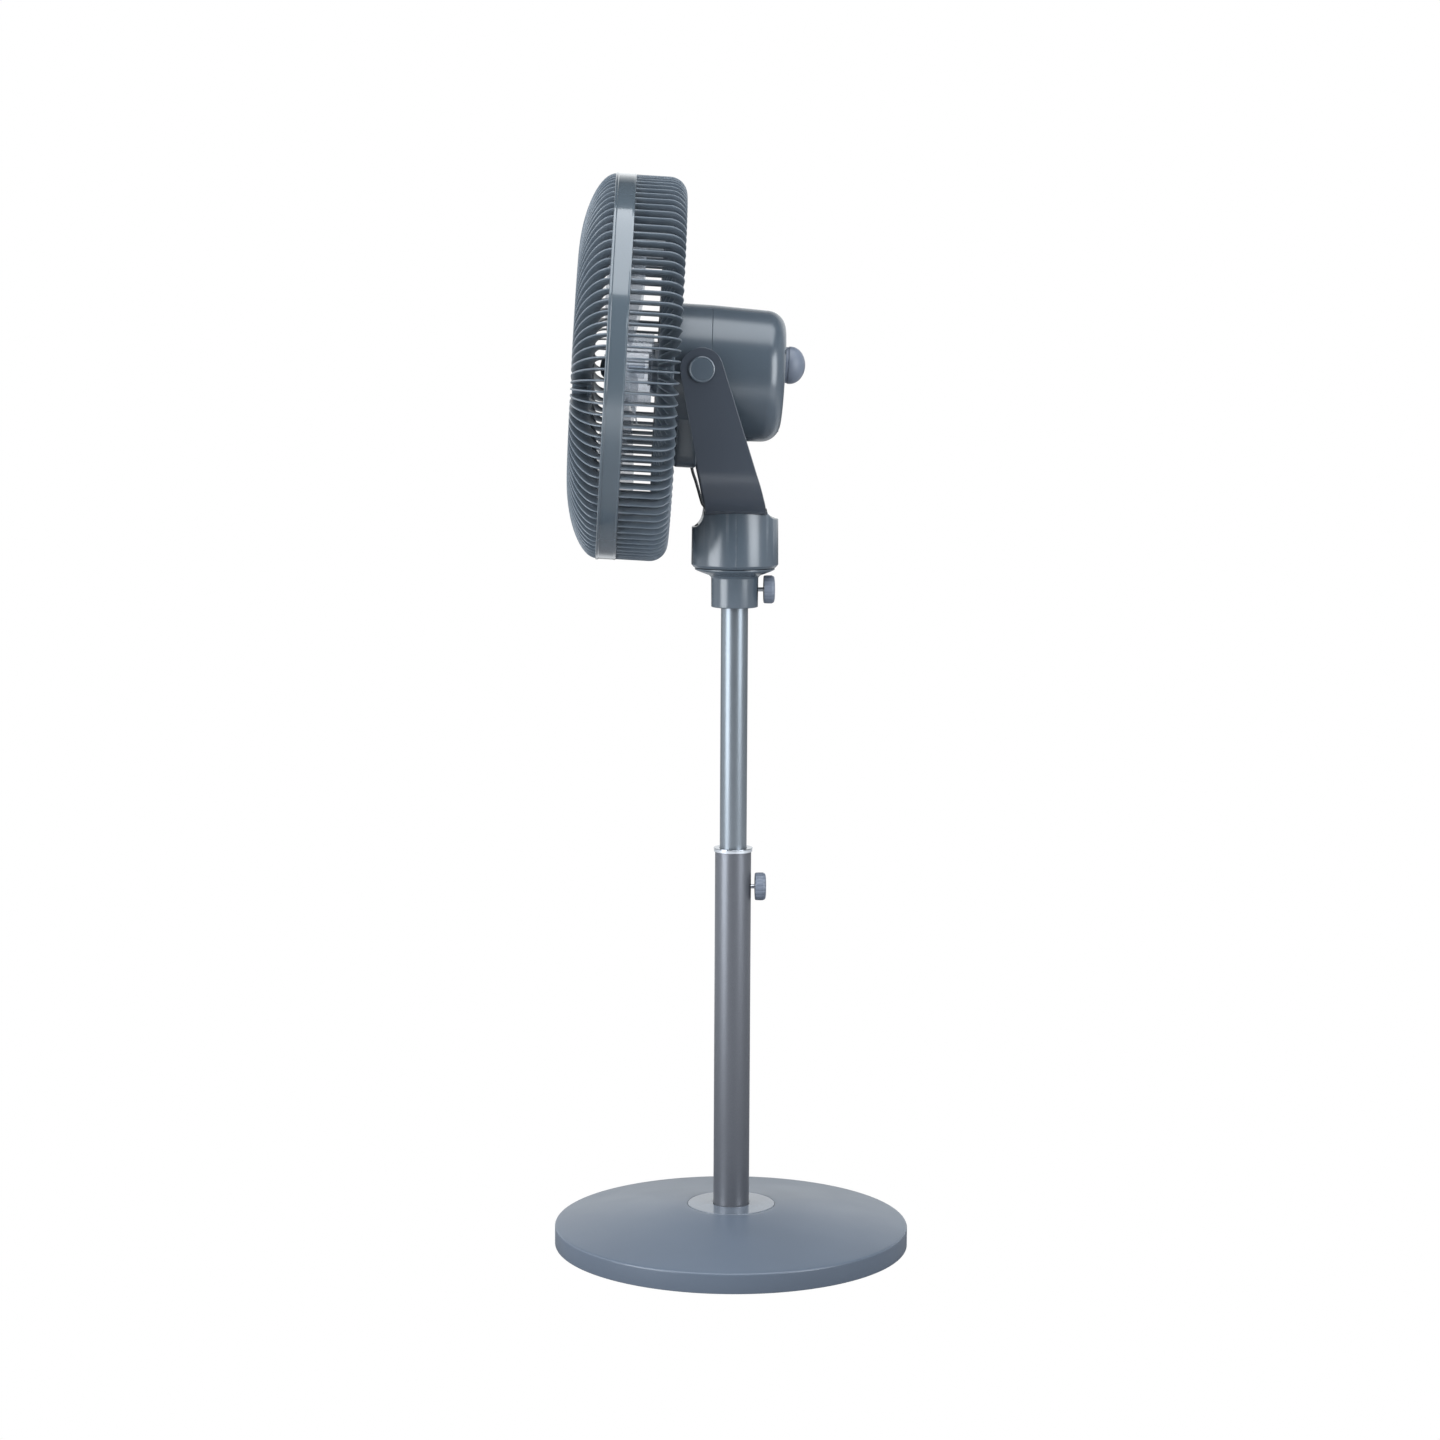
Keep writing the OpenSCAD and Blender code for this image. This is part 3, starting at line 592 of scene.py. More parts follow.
# ---------------------------------------------------------------- mast
MAST = high("inner_tube", X)  # upper tube: radius, foot and top
MAST_FOOT, MAST_TOP = low("inner_tube", Z), high("inner_tube", Z)
lathe("upper_tube",
      [(14.2, MAST_FOOT), (MAST, MAST_FOOT, 0.3), (MAST, MAST_TOP, 0.3), (14.2, MAST_TOP)],
      "mast", "upper_tube_paint", replaced="inner_tube")
SOCKET_FOOT = low("neck_socket", Z)
socket = lathe(
    "neck_socket_shell",
    [(MAST + 0.1, SOCKET_FOOT, 0.3), (26.5, SOCKET_FOOT, 1.0), (26.8, 776.6, 2.0),
     (29.4, 779.3, 2.5), (34.5, 781.2, 4), (43.0, 784.4, 2.5), (45.4, 785.9, 0.9),
     (45.4, 787.6, 0.4), (12, 787.6), (12, 806.5), (6, 806.5), (6, 776.5),
     (MAST + 0.1, 776.5)],
    "mast", "housing_plastic", segs=160, replaced="neck_socket")
cut(socket, [drill(2.6, 15, 40, shift(0, 0, NECK_KNOB_Z) @ REARWARD)])

# ---------------------------------------------------------------- floor
bm = bmesh.new()
bmesh.ops.create_grid(bm, x_segments=2, y_segments=2, size=30)
floor_mesh = new_mesh("floor", bm)
mat = Material("m_floor")
# 1 at the origin, falling to 0 at 4 m (output 1 is the factor)
nearness = mat.node("TexGradient", {0: mat.mapping((0.25, 0.25, 0.25))},
                    gradient_type="SPHERICAL").outputs[1]
GLOW = (0.30, 0.31, 0.32)  # a ring of the floor gives a little light of its own
# the floor's colour is dark within about 1 m of the fan and pale beyond 2.3 m: painted shade
# under the fan, seen only in reflections and bounce light
mat.principled({
    "Roughness": 0.9,
    "Specular IOR Level": 0.15,
    "Base Color": mat.ramp(nearness, (0.42, 0.80), (0.74, (0.25, 0.25, 0.26))),
    "Emission Color": mat.ramp(nearness, (0.16, 0.02), (0.36, GLOW), (0.58, GLOW), (0.70, 0.0)),
    "Emission Strength": 1.0})
# the camera sees plain white from above, and from below the floor is left out
from_above = mat.mix_shader(mat.node("LightPath").outputs["Is Camera Ray"],
                            mat.shader.outputs[0], mat.node("Emission").outputs[0])
mat.surface(mat.mix_shader(mat.node("NewGeometry").outputs["Backfacing"], from_above,
                           mat.node("BsdfTransparent").outputs[0]))
floor_mesh.materials.append(mat.material)
floor = new_object("floor", floor_mesh)
floor.location = (0, 0, -0.0005)

# ---------------------------------------------------------------- world
# White to the camera; to the pieces, a low glow in the -x direction over a dim surround.
world = bpy.data.worlds.new("w")
scene.world = world
sky = Graph(world)
direction = sky.node("SeparateXYZ", {0: sky.node("TexCoord").outputs["Generated"]}).outputs
away = sky.map_range(direction[X], start=-0.25, end=-0.80)  # rises away from the camera
under_glow = sky.map_range(direction[Z], start=0.62, end=0.30)  # fades out with height
level = sky.map_range(sky.product(away, under_glow), to_start=0.06, to_end=1.05)
SKY_TINT = (0.95, 0.98, 1.0)
glow = sky.node("CombineColor", {i: sky.product(level, SKY_TINT[i]) for i in range(3)})
lit = sky.node("Background", {0: glow.outputs[0]}).outputs[0]
white = sky.node("Background", {0: (1, 1, 1)}).outputs[0]
seen = sky.mix_shader(sky.node("LightPath").outputs["Is Camera Ray"], lit, white)
sky.node("OutputWorld", {0: seen})


# ---------------------------------------------------------------- lights (metres, watts)
def area(name, at, size, power, aim=None):
    """Cool rectangular light, aimed at a point or else straight down."""
    data = bpy.data.lights.new(name, "AREA")
    data.shape = "RECTANGLE"
    data.size, data.size_y = size
    data.energy = power
    data.spread = pi
    data.color = (0.90, 0.95, 1.0)
    ob = new_object(name, data)
    ob.location = at
    if aim:
        ob.rotation_euler = (Vector(aim) - Vector(at)).to_track_quat("-Z", "Y").to_euler()
    return ob


# two overhead soft boxes, the second nearer the camera, then boxes and walls to the
# camera's left (-y) and right (+y)
area("key_top", at=(0.40, 0.0, 3.3), size=(1.89, 3.0), power=69.5)
key_front = area("key_front", at=(1.925, 0.0, 3.3), size=(1.16, 3.0), power=42.5)
area("left_box", at=(1.35, -2.15, 1.15), aim=(0, 0, 0.9), size=(1.6, 2.3), power=88)
area("right_box", at=(1.62, 1.92, 1.40), aim=(0, 0, 0.9), size=(1.3, 2.1), power=62)
area("right_wall", at=(0.10, 2.6, 1.5), aim=(0, 0, 1.0), size=(2.2, 2.6), power=7)
area("left_wall", at=(-0.60, -2.7, 1.5), aim=(0, 0, 1.0), size=(2.2, 2.6), power=18)

# ---------------------------------------------------------------- camera (metres, degrees)
CAMERA_DISTANCE, CAMERA_HEIGHT = 3.605, 1.056
CAMERA_AZIMUTH = 88.0   # from -y round towards +x
CAMERA_PITCH = 7.0      # downwards
CAMERA_PAN = 0.2520062  # puts the pole a little right of centre
CAMERA_ROLL = 0.3
camera_data = bpy.data.cameras.new("cam")
camera_data.lens = 79.575
camera_data.sensor_width = 36
camera_data.clip_end = 100
camera = new_object("cam", camera_data)
azimuth, pitch = radians(CAMERA_AZIMUTH), radians(CAMERA_PITCH)
place = Vector((CAMERA_DISTANCE * sin(azimuth), -CAMERA_DISTANCE * cos(azimuth),
                CAMERA_HEIGHT))
yaw = math.atan2(-place.y, -place.x) + radians(CAMERA_PAN)
view = Vector((cos(yaw) * cos(pitch), sin(yaw) * cos(pitch), -sin(pitch)))
camera.location = place
roll = Matrix.Rotation(radians(CAMERA_ROLL), 3, "Z")
camera.rotation_euler = (view.to_track_quat("-Z", "Y").to_matrix() @ roll).to_euler()
scene.camera = camera

scene.view_settings.view_transform = "Standard"
scene.view_settings.look = "None"
scene.cycles.max_bounces = 8
scene.cycles.transmission_bounces = 8
scene.cycles.transparent_max_bounces = 12
scene.cycles.use_denoising = True

# ---------------------------------------------------------------- swivel cup
WEB = 849.2               # height of the underside of the strap's flat middle
WEB_HALF = 32             # half the length of that flat
BEND = 53                 # outer radius of the strap's two bends
ARM = WEB_HALF + BEND     # outer face of the strap's upright arms
SLOT_GAP = 0.2            # room under the strap in the cup
LEAD_Y = -24              # where the lead enters the cup

# (y, z) outline of the cup from the side: low front, high rear, rounded shoulders
CUP_SIDE = (
    [(-60, 788), (-60, 834), (-48.9, 834)]
    + [(-48.9 + 13.2 * sin(radians(a)), 834 + 20.4 * (1 - cos(radians(a))))
       for a in range(6, 87, 6)]
    + [(-35.7, 854.4), (34.4, 855.8)]
    + [(48.9 - 14.4 * sin(radians(a)), 843 + 13.4 * (1 - cos(radians(a))))
       for a in range(84, 5, -6)]
    + [(48.9, 843), (60, 843), (60, 788)])


def slot_bend(sign, degrees):
    a = radians(degrees)
    radius = BEND + SLOT_GAP
    return sign * (WEB_HALF + radius * sin(a)), WEB + BEND - radius * cos(a)


# (x, z) outline of everything above the strap's underside
STRAP_SLOT = (
    [(-(ARM + SLOT_GAP), 905)] + [slot_bend(-1, a) for a in range(90, -1, -3)]
    + [slot_bend(1, a) for a in range(0, 91, 3)] + [(ARM + SLOT_GAP, 905)])

for name, y0, y1 in (("cup_front_half", -70, -0.07), ("cup_rear_half", 0.07, 70)):
    bm = bmesh.new()
    revolve(bm, [(12.08, 788.1), (42, 788.1, 0.8), (46.6, 788.4, 0.8), (49.35, 791.6, 1.6),
                 (48.7, 860), (12.08, 860)], segs=192)
    cup = solid(name + "_shell", bm)
    keep = [prism_tool(CUP_SIDE, -60, 60, X),
            prism_tool([(y0, 780), (y1, 780), (y1, 870), (y0, 870)], -65, 65, X)]
    remove = [prism_tool(STRAP_SLOT, -35.65, 34.35, Y),
              turned_tool([(0, 797), (46.2, 797), (45.8, 837), (12, 837), (0, 837)], segs=96),
              drill(2.8, 800, 870, shift(0, LEAD_Y, 0), 24)]
    for each in keep:
        add_boolean(cup, each, "INTERSECT")
    for each in remove:
        add_boolean(cup, each)
    bevel = cup.modifiers.new("bev", "BEVEL")
    bevel.width = 0.6 * mm
    bevel.segments = 3
    bevel.limit_method = "ANGLE"
    bevel.angle_limit = radians(38)
    bevel.use_clamp_overlap = True
    bevel.miter_outer = "MITER_ARC"
    bake(cup, keep + remove, 35)
    cup.data.materials.clear()
    assign(cup, "yoke", "housing_plastic", name)

# ---------------------------------------------------------------- strap yoke
# Drawn as a flat sheet, (distance along the strap from its middle, y), then bent up.
PIVOT_Y, PIVOT_Z = PIVOT.y / mm, PIVOT.z / mm
STRAP_THICKNESS = 3.0
EYE = 24                        # radius of the rounded ends
EYE_START, EYE_END = -100, 73   # degrees, from the front edge round to the rear edge
BEND_LENGTH = BEND * pi / 2


def eye(degrees):
    return EYE * cos(radians(degrees)), EYE * sin(radians(degrees))


# (z, y) of the arms' front and rear edges, each ending where it meets the eye
FRONT_EDGE = [(840, -34.3), (858, -35.6), (876, -38.6), (895, -42.6), (914, -46.6),
              (PIVOT_Z + eye(EYE_START)[0], PIVOT_Y + eye(EYE_START)[1])]
REAR_EDGE = [(840, 33.8), (856, 32.2), (869.5, 28.9), (883, 25.2), (896, 21.1), (910, 16.8),
             (924, 12.4), (PIVOT_Z + eye(EYE_END)[0], PIVOT_Y + eye(EYE_END)[1])]


def edge_y(table, z):
    """Smooth curve through a table of (z, y)."""
    if z <= table[0][0]:
        return table[0][1]
    for i in range(len(table) - 1):
        if z <= table[i + 1][0]:
            z0, y0 = table[i]
            z1, y1 = table[i + 1]
            before, after = table[max(i - 1, 0)], table[min(i + 2, len(table) - 1)]
            slope0 = (y1 - before[1]) / (z1 - before[0])
            slope1 = (after[1] - y0) / (after[0] - z0)
            h = z1 - z0
            t = (z - z0) / h
            return ((2 * t**3 - 3 * t**2 + 1) * y0 + (t**3 - 2 * t**2 + t) * h * slope0
                    + (-2 * t**3 + 3 * t**2) * y1 + (t**3 - t**2) * h * slope1)
    return table[-1][1]


def bend(along, depth=0.0):
    """Place along the sheet and depth into it, to x and z."""
    sign = 1 if along >= 0 else -1
    s = abs(along)
    if s < WEB_HALF:
        return sign * s, WEB + depth
    if s < WEB_HALF + BEND_LENGTH:
        a = (s - WEB_HALF) / BEND
        radius = BEND - depth
        return sign * (WEB_HALF + radius * sin(a)), WEB + BEND - radius * cos(a)
    return sign * (ARM - depth), WEB + BEND + s - WEB_HALF - BEND_LENGTH


BEND_END = WEB_HALF + BEND_LENGTH
EYE_ALONG = PIVOT_Z - WEB - BEND + WEB_HALF + BEND_LENGTH
stations = [i * 2.0 for i in range(16)]
stations += [WEB_HALF + BEND_LENGTH * i / 40 for i in range(41)]
stations += [BEND_END + (EYE_ALONG - BEND_END) * i / 12 for i in range(1, 12)]
both_ways = sorted(-s for s in stations if s > 0) + stations
# the rear edge leaves the eye above its centre
rear_stations = stations + [EYE_ALONG + step for step in (-2, 0, 2, 4.5)]
eye_points = [eye(EYE_START + (EYE_END - EYE_START) * k / 40) for k in range(41)]

outline = [(s, edge_y(FRONT_EDGE, bend(s)[1])) for s in both_ways]
outline += [(EYE_ALONG + s, PIVOT_Y + y) for s, y in eye_points]
outline += [(s, edge_y(REAR_EDGE, bend(s)[1]))
            for s in sorted(rear_stations, reverse=True) + [-s for s in rear_stations if s > 0]]
outline += [(-(EYE_ALONG + s), PIVOT_Y + y) for s, y in reversed(eye_points)]

bm = bmesh.new()
bm.faces.new(outline_ring(bm, outline, 0, Z))
for s in both_ways:
    bmesh.ops.bisect_plane(bm, geom=bm.verts[:] + bm.edges[:] + bm.faces[:], dist=1e-6,
                           plane_co=(s * mm, 0, 0), plane_no=(1, 0, 0))
bmesh.ops.remove_doubles(bm, verts=bm.verts, dist=2e-6)
extruded = bmesh.ops.extrude_face_region(bm, geom=bm.faces[:])["geom"]
for vert in [item for item in extruded if isinstance(item, bmesh.types.BMVert)]:
    vert.co.z += STRAP_THICKNESS * mm
round_rim(bm, offset=0.75, segments=3, profile=0.6)
for vert in bm.verts:
    x, z = bend(vert.co.x / mm, vert.co.z / mm)
    vert.co = Vector((x * mm, vert.co.y, z * mm))
piece("yoke_strap_bent", bm, "yoke", "strap_paint", replaced="yoke_strap", sharp=40)
for side, sign in SIDES:
    lathe("pivot_cap_" + side,
          [(0, 0.05), (14.5, 0.05, 0.2), (14.5, 2.1, 0.9), (12.9, 2.75, 1.2),
           (12.3, 2.45, 0.4), (0, 3.2)],
          "yoke", "housing_plastic",
          Matrix.Translation(PIVOT) @ turn(sign * 90, "Y") @ shift(0, 0, ARM + 0.05),
          "pivot_caps", closed=False, segs=96)

# ---------------------------------------------------------------- motor housing (fan frame)
SEAM, REAR = -10.0, -93.7  # z of the joint between the shells, and of the rear face
SELECTOR_Y = 14
SCREW_CIRCLE = 56
SCREW_ANGLES = [radians(30 + 120 * k) for k in range(3)]

bm = bmesh.new()
revolve(bm, [(73.4, SEAM, 0.2), (76, SEAM, 0.5), (76, 44, 2.5), (18, 44, 0.5), (18, 58, 0.8),
             (9, 58, 0.8), (9, 40.5, 0.3), (73.4, 40.5, 1)], segs=192)
piece("motor_housing_shell", bm, "head", "housing_plastic", FAN, "motor_front_housing")


def arc(x, y, radius, degrees):
    return [(x + radius * cos(radians(a)), y + radius * sin(radians(a))) for a in degrees]


# chin: rounded tongue below the housing
chin = (arc(0, 0, 70, range(-25, 206, 5)) + arc(-24, -88.5, 18, range(180, 271, 9))
        + arc(24, -88.5, 18, range(270, 361, 9)))
bm = bmesh.new()
rings = [outline_ring(bm, chin, z, Z) for z in (-1, 24)]
bm.faces.new(rings[0])
bm.faces.new(list(reversed(rings[1])))
bridge(bm, rings)
round_rim(bm, offset=3.2, segments=5, profile=0.5)
piece("housing_chin", bm, "head", "housing_plastic", FAN, "motor_front_housing", sharp=40)
for side, sign in SIDES:
    lathe("pivot_boss_" + side, [(4.05, 66), (20, 66), (20, 79.5, 1.4), (4.05, 79.5, 0.4)],
          "head", "housing_plastic", HEAD @ turn(sign * 90, "Y"), "motor_front_housing",
          segs=96)
rear_shell = lathe(
    "motor_rear_shell",
    [(0, REAR), (72.6, REAR, 21.5), (76, SEAM - 0.15, 0.5), (73.4, SEAM - 0.15),
     (70.2, REAR + 2.5, 19), (0, REAR + 2.5)],
    "head", "housing_plastic", FAN, "motor_rear_cover", closed=False, segs=224, seg=16)
holes = [drill(3.9, REAR - 2, REAR + 5, FAN @ around(SCREW_CIRCLE, a), 40)
         for a in SCREW_ANGLES]
holes.append(drill(5.2, REAR - 2, REAR + 5, FAN @ shift(0, SELECTOR_Y, 0), 40))
cut(rear_shell, holes)
bm = bmesh.new()
for a in SCREW_ANGLES:
    revolve(bm, [(3.9, REAR + 1.4), (5.6, REAR + 1.4), (5.6, REAR + 14), (2.0, REAR + 14),
                 (2.0, REAR + 9), (3.9, REAR + 9)],
            segs=40, matrix=around(SCREW_CIRCLE, a))
piece("cover_screw_wells", bm, "head", "housing_plastic", FAN, "motor_rear_cover")
# raised dots, growing from -x to +x, mark the selector's four positions
bm = bmesh.new()
for k in range(4):
    revolve(bm, [(0, -0.55), (0.5 + 0.3 * k, -0.5), (0.9 + 0.35 * k, -0.25),
                 (1.05 + 0.4 * k, 0.2), (0, 0.2)],
            False, 24, matrix=around(27.5, radians(90 + 67.5 - 45 * k), SELECTOR_Y, REAR))
piece("selector_dots", bm, "head", "band_plastic", FAN)

# selector knob: collar, dome, index groove, small radial hole below
dome = [(21.0 * cos(radians(a)), -101 - 17.2 * sin(radians(a))) for a in range(0, 86, 5)]
selector = lathe(
    "selector_knob",
    [(0, -78), (3, -78), (3, -94.7), (19.3, -94.7, 0.3), (20.1, -95.4, 0.4),
     (20.2, -98.2, 0.5), (20.9, -98.9, 0.5)] + dome + [(0, -118.2)],
    "selector", "knob_plastic", FAN @ shift(0, SELECTOR_Y, 0), "speed_knob", closed=False,
    segs=160)
groove = bmesh.new()
groove_size = Matrix.Diagonal((1.5 * mm, 15 * mm, 5.6 * mm, 1))
bmesh.ops.create_cube(groove, size=1,
                      matrix=FAN @ shift(0, SELECTOR_Y + 10.5, -117.2) @ groove_size)
cut(selector, [solid("tool", groove),
               drill(1.5, 15, 25, FAN @ shift(0, SELECTOR_Y, -98.6) @ turn(90, "X"), 24)])

# ---------------------------------------------------------------- cage guard (fan frame)
GUARD = 215.0                      # outer radius
BAND_BACK, BAND_FRONT = 83.2, 105.7
FACE = 142.7                       # front of the cage
FLAT = 125                         # radius where the face starts to curve back
RIBS = 109
RIB_PHASE = 0.07                   # of a rib pitch
RIB_WIDTH = 2.0
RIB_BACK = 120.0                   # z of the front ribs' inner edge
RIB_OFFSET = 25.0                  # front ribs pass this far from the axis
# (depth from the outer crest, share of half the width)
RIB_CREST = [(0.0, 0.25), (0.12, 0.55), (0.40, 0.84), (0.95, 1.0)]
FRONT_RADII = (60, 75, 90, 105, 118, 125, 133, 141, 149, 157, 165, 172, 179, 185, 191, 196,
               201, 205, 208.5, 211, 213)
REAR_START = 78.4                  # radius where the rear ribs start
CORNER = 20                        # the rear ribs' corner radius


def face_z(r):
    """Outer surface of the front guard."""
    if r <= FLAT:
        return FACE - 3 * (1 - r / FLAT) ** 2
    run = (r - FLAT) / (GUARD - FLAT)
    return BAND_FRONT + (FACE - BAND_FRONT) * max(0.0, 1 - run ** 1.85) ** (1 / 1.85)


def inner_z(r):
    """Inner edge of the front ribs."""
    if r <= 140:
        return RIB_BACK
    run = (r - 140) / (GUARD - 149)
    base = BAND_FRONT - 4
    return min(face_z(r) - 9,
               base + (RIB_BACK - BAND_FRONT + 4) * max(0.0, 1 - run ** 2.2) ** (1 / 2.2))


def rib(bm, path, angle, offset=0.0):
    """Flat rib through stations of (outer r, z, inner r, z), with a rounded outer crest."""
    c, s = cos(angle), sin(angle)
    rings = []
    for r, z, inner_r, inner in path:
        inward = Vector((inner_r - r, inner - z))
        depth = inward.length
        inward.normalize()
        half = [(d, share * RIB_WIDTH / 2)
                for d, share in RIB_CREST + [(depth - 0.5, 0.88), (depth, 0.5)]]
        ring = []
        for d, h in half + [(d, -h) for d, h in reversed(half)]:
            along, height, across = r + inward.x * d, z + inward.y * d, h - offset
            ring.append(bm.verts.new(((along * c - across * s) * mm,
                                      (along * s + across * c) * mm, height * mm)))
        rings.append(ring)
    bridge(bm, rings)
    bm.faces.new(rings[0])
    bm.faces.new(list(reversed(rings[-1])))


def offset_run(r):
    """Distance along an offset rib at which it reaches radius r."""
    return (r * r - RIB_OFFSET * RIB_OFFSET) ** 0.5


def front_path(start):
    out = []
    for r in [start] + [r for r in FRONT_RADII if r > start + 2]:
        inner = r if r <= 133 else 133 + (r - 133) * (205.3 - 133) / (GUARD - 133)
        out.append((offset_run(r), face_z(r), offset_run(inner), inner_z(inner)))
    for r, rise in ((214.3, 3.4), (214.85, 1.7), (214.95, 0.15)):
        z = BAND_FRONT + rise
        out.append((offset_run(r), z, offset_run(206), min(z, 101.9)))
    return out


def rear_path():
    """Out along the sloping back, round the corner and forward to the band."""
    out = []
    corner_r = GUARD - CORNER
    for k in range(11):
        r = REAR_START + (corner_r - REAR_START) * k / 10
        inner = r if r <= 140 else 140 + (r - 140) * 51 / 55
        out.append((r, 38 - 12.5 * (r - 78.2) / 116.8,
                    inner, 48 if inner <= 140 else 48 - (inner - 140) * 11 / 51))
    for degrees in range(8, 90, 9):
        s, c = sin(radians(degrees)), cos(radians(degrees))
        out.append((corner_r + CORNER * s, 45.5 - CORNER * c,
                    corner_r + 10 * s, 45.5 - 10 * c))
    return out + [(GUARD, z, GUARD - 10, z)
                  for z in (45.5, 52, 58, 64, 70, 76, BAND_BACK - 0.15)]


def rib_angle(i):
    return 2 * pi * (i + RIB_PHASE) / RIBS


# alternate front ribs reach the centre; the odd one over is short
bm = bmesh.new()
long_path, short_path = front_path(49.0), front_path(112.5)
for i in range(RIBS):
    reaches_in = i % 2 == 0 and i < RIBS - 1
    rib(bm, long_path if reaches_in else short_path, rib_angle(i), RIB_OFFSET)
CENTRE_Z = face_z(50) + 0.2
# outer, centre and middle rings
revolve(bm, [(GUARD - 6, 95.1, 0.3), (GUARD - 2.4, 95.1, 0.3), (GUARD - 2.4, 104.8, 0.6),
             (GUARD - 6, 104.8, 0.5)], segs=240, seg=3)
revolve(bm, [(42, 131.5, 0.5), (46.4, 131.5), (46.4, RIB_BACK, 0.5), (51.5, RIB_BACK, 0.5),
             (51.5, CENTRE_Z, 0.9), (46.4, CENTRE_Z, 0.5), (46.4, 134.8), (42, 134.8, 0.5)],
        segs=128, seg=4)
revolve(bm, [(111, RIB_BACK - 0.3, 0.6), (114, RIB_BACK - 0.3, 0.6),
             (114, RIB_BACK + 4, 0.6), (111, RIB_BACK + 4, 0.6)], segs=192, seg=3)
piece("front_guard_cage", bm, "head", "guard_plastic", FAN, "front_guard", sharp=50)

bm = bmesh.new()
path = rear_path()
for i in range(RIBS):
    rib(bm, path, rib_angle(i))
revolve(bm, [(GUARD - 6, 84.5, 0.5), (GUARD - 2.4, 84.5, 0.5), (GUARD - 2.4, 94.7, 0.3),
             (GUARD - 6, 94.7, 0.3)], segs=240, seg=3)
revolve(bm, [(18.2, 44.2, 0.3), (77.5, 44.2), (77.5, 38.4, 0.6), (80.5, 38.4, 0.6),
             (80.5, 48.3, 0.6), (77.5, 48.3, 0.6), (77.5, 47.2), (18.2, 47.2, 0.4)],
        segs=160, seg=4)
revolve(bm, [(143, 31.2, 0.6), (146, 31.2, 0.6), (146, 35, 0.6), (143, 35, 0.6)],
        segs=200, seg=3)
piece("rear_guard_cage", bm, "head", "guard_plastic", FAN, "rear_guard", sharp=50)
lathe("guard_band_hoop",
      [(GUARD - 2.2, BAND_BACK, 0.4), (GUARD + 0.7, BAND_BACK, 0.6),
       (GUARD + 1.0, BAND_BACK + 1.2, 0.5), (GUARD + 0.55, BAND_BACK + 2.4, 1.0),
       (GUARD + 0.55, BAND_FRONT - 3.6, 1.2), (GUARD + 1.4, BAND_FRONT - 2.6, 0.6),
       (GUARD + 1.4, BAND_FRONT - 0.5, 0.7), (GUARD + 0.6, BAND_FRONT, 0.4),
       (GUARD - 2.2, BAND_FRONT, 0.4)],
      "head", "band_plastic", FAN, "guard_band", segs=320, sharp=50)
lathe("centre_disc",
      [(0, 136.2), (46, 135), (46.2, 138, 0.9), (40, 139.4, 4), (20, 140.3, 6), (0, 140.6)],
      "head", "housing_plastic", FAN, "guard_centre_disc", closed=False)

# ---------------------------------------------------------------- blades (fan frame)
# Five twisted, cambered, clear blades on one hub.
BLADES = 5
TIP, ROOT = 192.0, 36.8      # radii
ACROSS, OUTWARD = 22, 26     # mesh steps


def blade_point(u, v):
    """Radius, angle and z; u runs from edge (-1) to edge (+1), v from root to tip."""
    end = TIP - 20 * abs(u) ** 3.2
    r = ROOT + (end - ROOT) * v
    q = (r - ROOT) / (TIP - ROOT)
    half = radians(26.0 + 11.0 * q - 8.0 * q * q)
    sweep = radians(-4 + 20 * q * q)
    pitch = radians(39 - 17 * q)
    rise = u * half * r * math.tan(pitch) * (0.68 - 0.20 * q)
    camber = 3.0 * (1 - u * u) * (0.5 + 0.5 * q)
    return r, sweep + u * half, 88.5 + rise + camber


def add_blade(bm, start):
    """One blade turned to the start angle, thinner at its edges and tip."""
    top, bottom = [], []
    for i in range(ACROSS + 1):
        u = -1 + 2 * i / ACROSS
        u = sin(u * pi / 2) * 0.35 + u * 0.65  # closer steps near the edges
        top.append([])
        bottom.append([])
        for j in range(OUTWARD + 1):
            v = j / OUTWARD
            r, angle, z = blade_point(u, v)
            half = 1.15 * (1 - 0.62 * abs(u) ** 4) * (1 - 0.5 * v**6)
            x, y = r * mm * cos(start + angle), r * mm * sin(start + angle)
            top[i].append(bm.verts.new((x, y, (z + half) * mm)))
            bottom[i].append(bm.verts.new((x, y, (z - half) * mm)))
    for i in range(ACROSS):
        for j in range(OUTWARD):
            bm.faces.new((top[i][j], top[i + 1][j], top[i + 1][j + 1], top[i][j + 1]))
            bm.faces.new((bottom[i][j], bottom[i][j + 1], bottom[i + 1][j + 1],
                          bottom[i + 1][j]))
    for i in range(ACROSS):
        for j in (0, OUTWARD):
            bm.faces.new((top[i][j], bottom[i][j], bottom[i + 1][j], top[i + 1][j]))
    for j in range(OUTWARD):
        for i in (0, ACROSS):
            bm.faces.new((top[i][j], top[i][j + 1], bottom[i][j + 1], bottom[i][j]))


bm = bmesh.new()
for i in range(BLADES):
    add_blade(bm, 2 * pi * i / BLADES)
revolve(bm, [(4.06, 62), (11, 62, 0.6), (11, 91.4, 1.5), (29, 91.4, 2), (37.4, 86, 3),
             (37.4, 53.2, 0.5), (39.8, 53.2, 0.8), (39.8, 87.5, 5), (32, 94, 3),
             (4.06, 94, 0.5)])
piece("fan_blade_set", bm, "rotor", "clear_blade", FAN, "fan_blades", sharp=50)
lathe("blade_nut_cap",
      [(4.06, 94.2), (17, 94.2, 0.6), (17, 98.5, 1.2), (14.6, 105, 3), (8.5, 110.8, 4),
       (0, 112.4), (0, 108.7), (4.06, 108.7)],
      "rotor", "guard_plastic", FAN, "blade_nut", closed=False, segs=96)
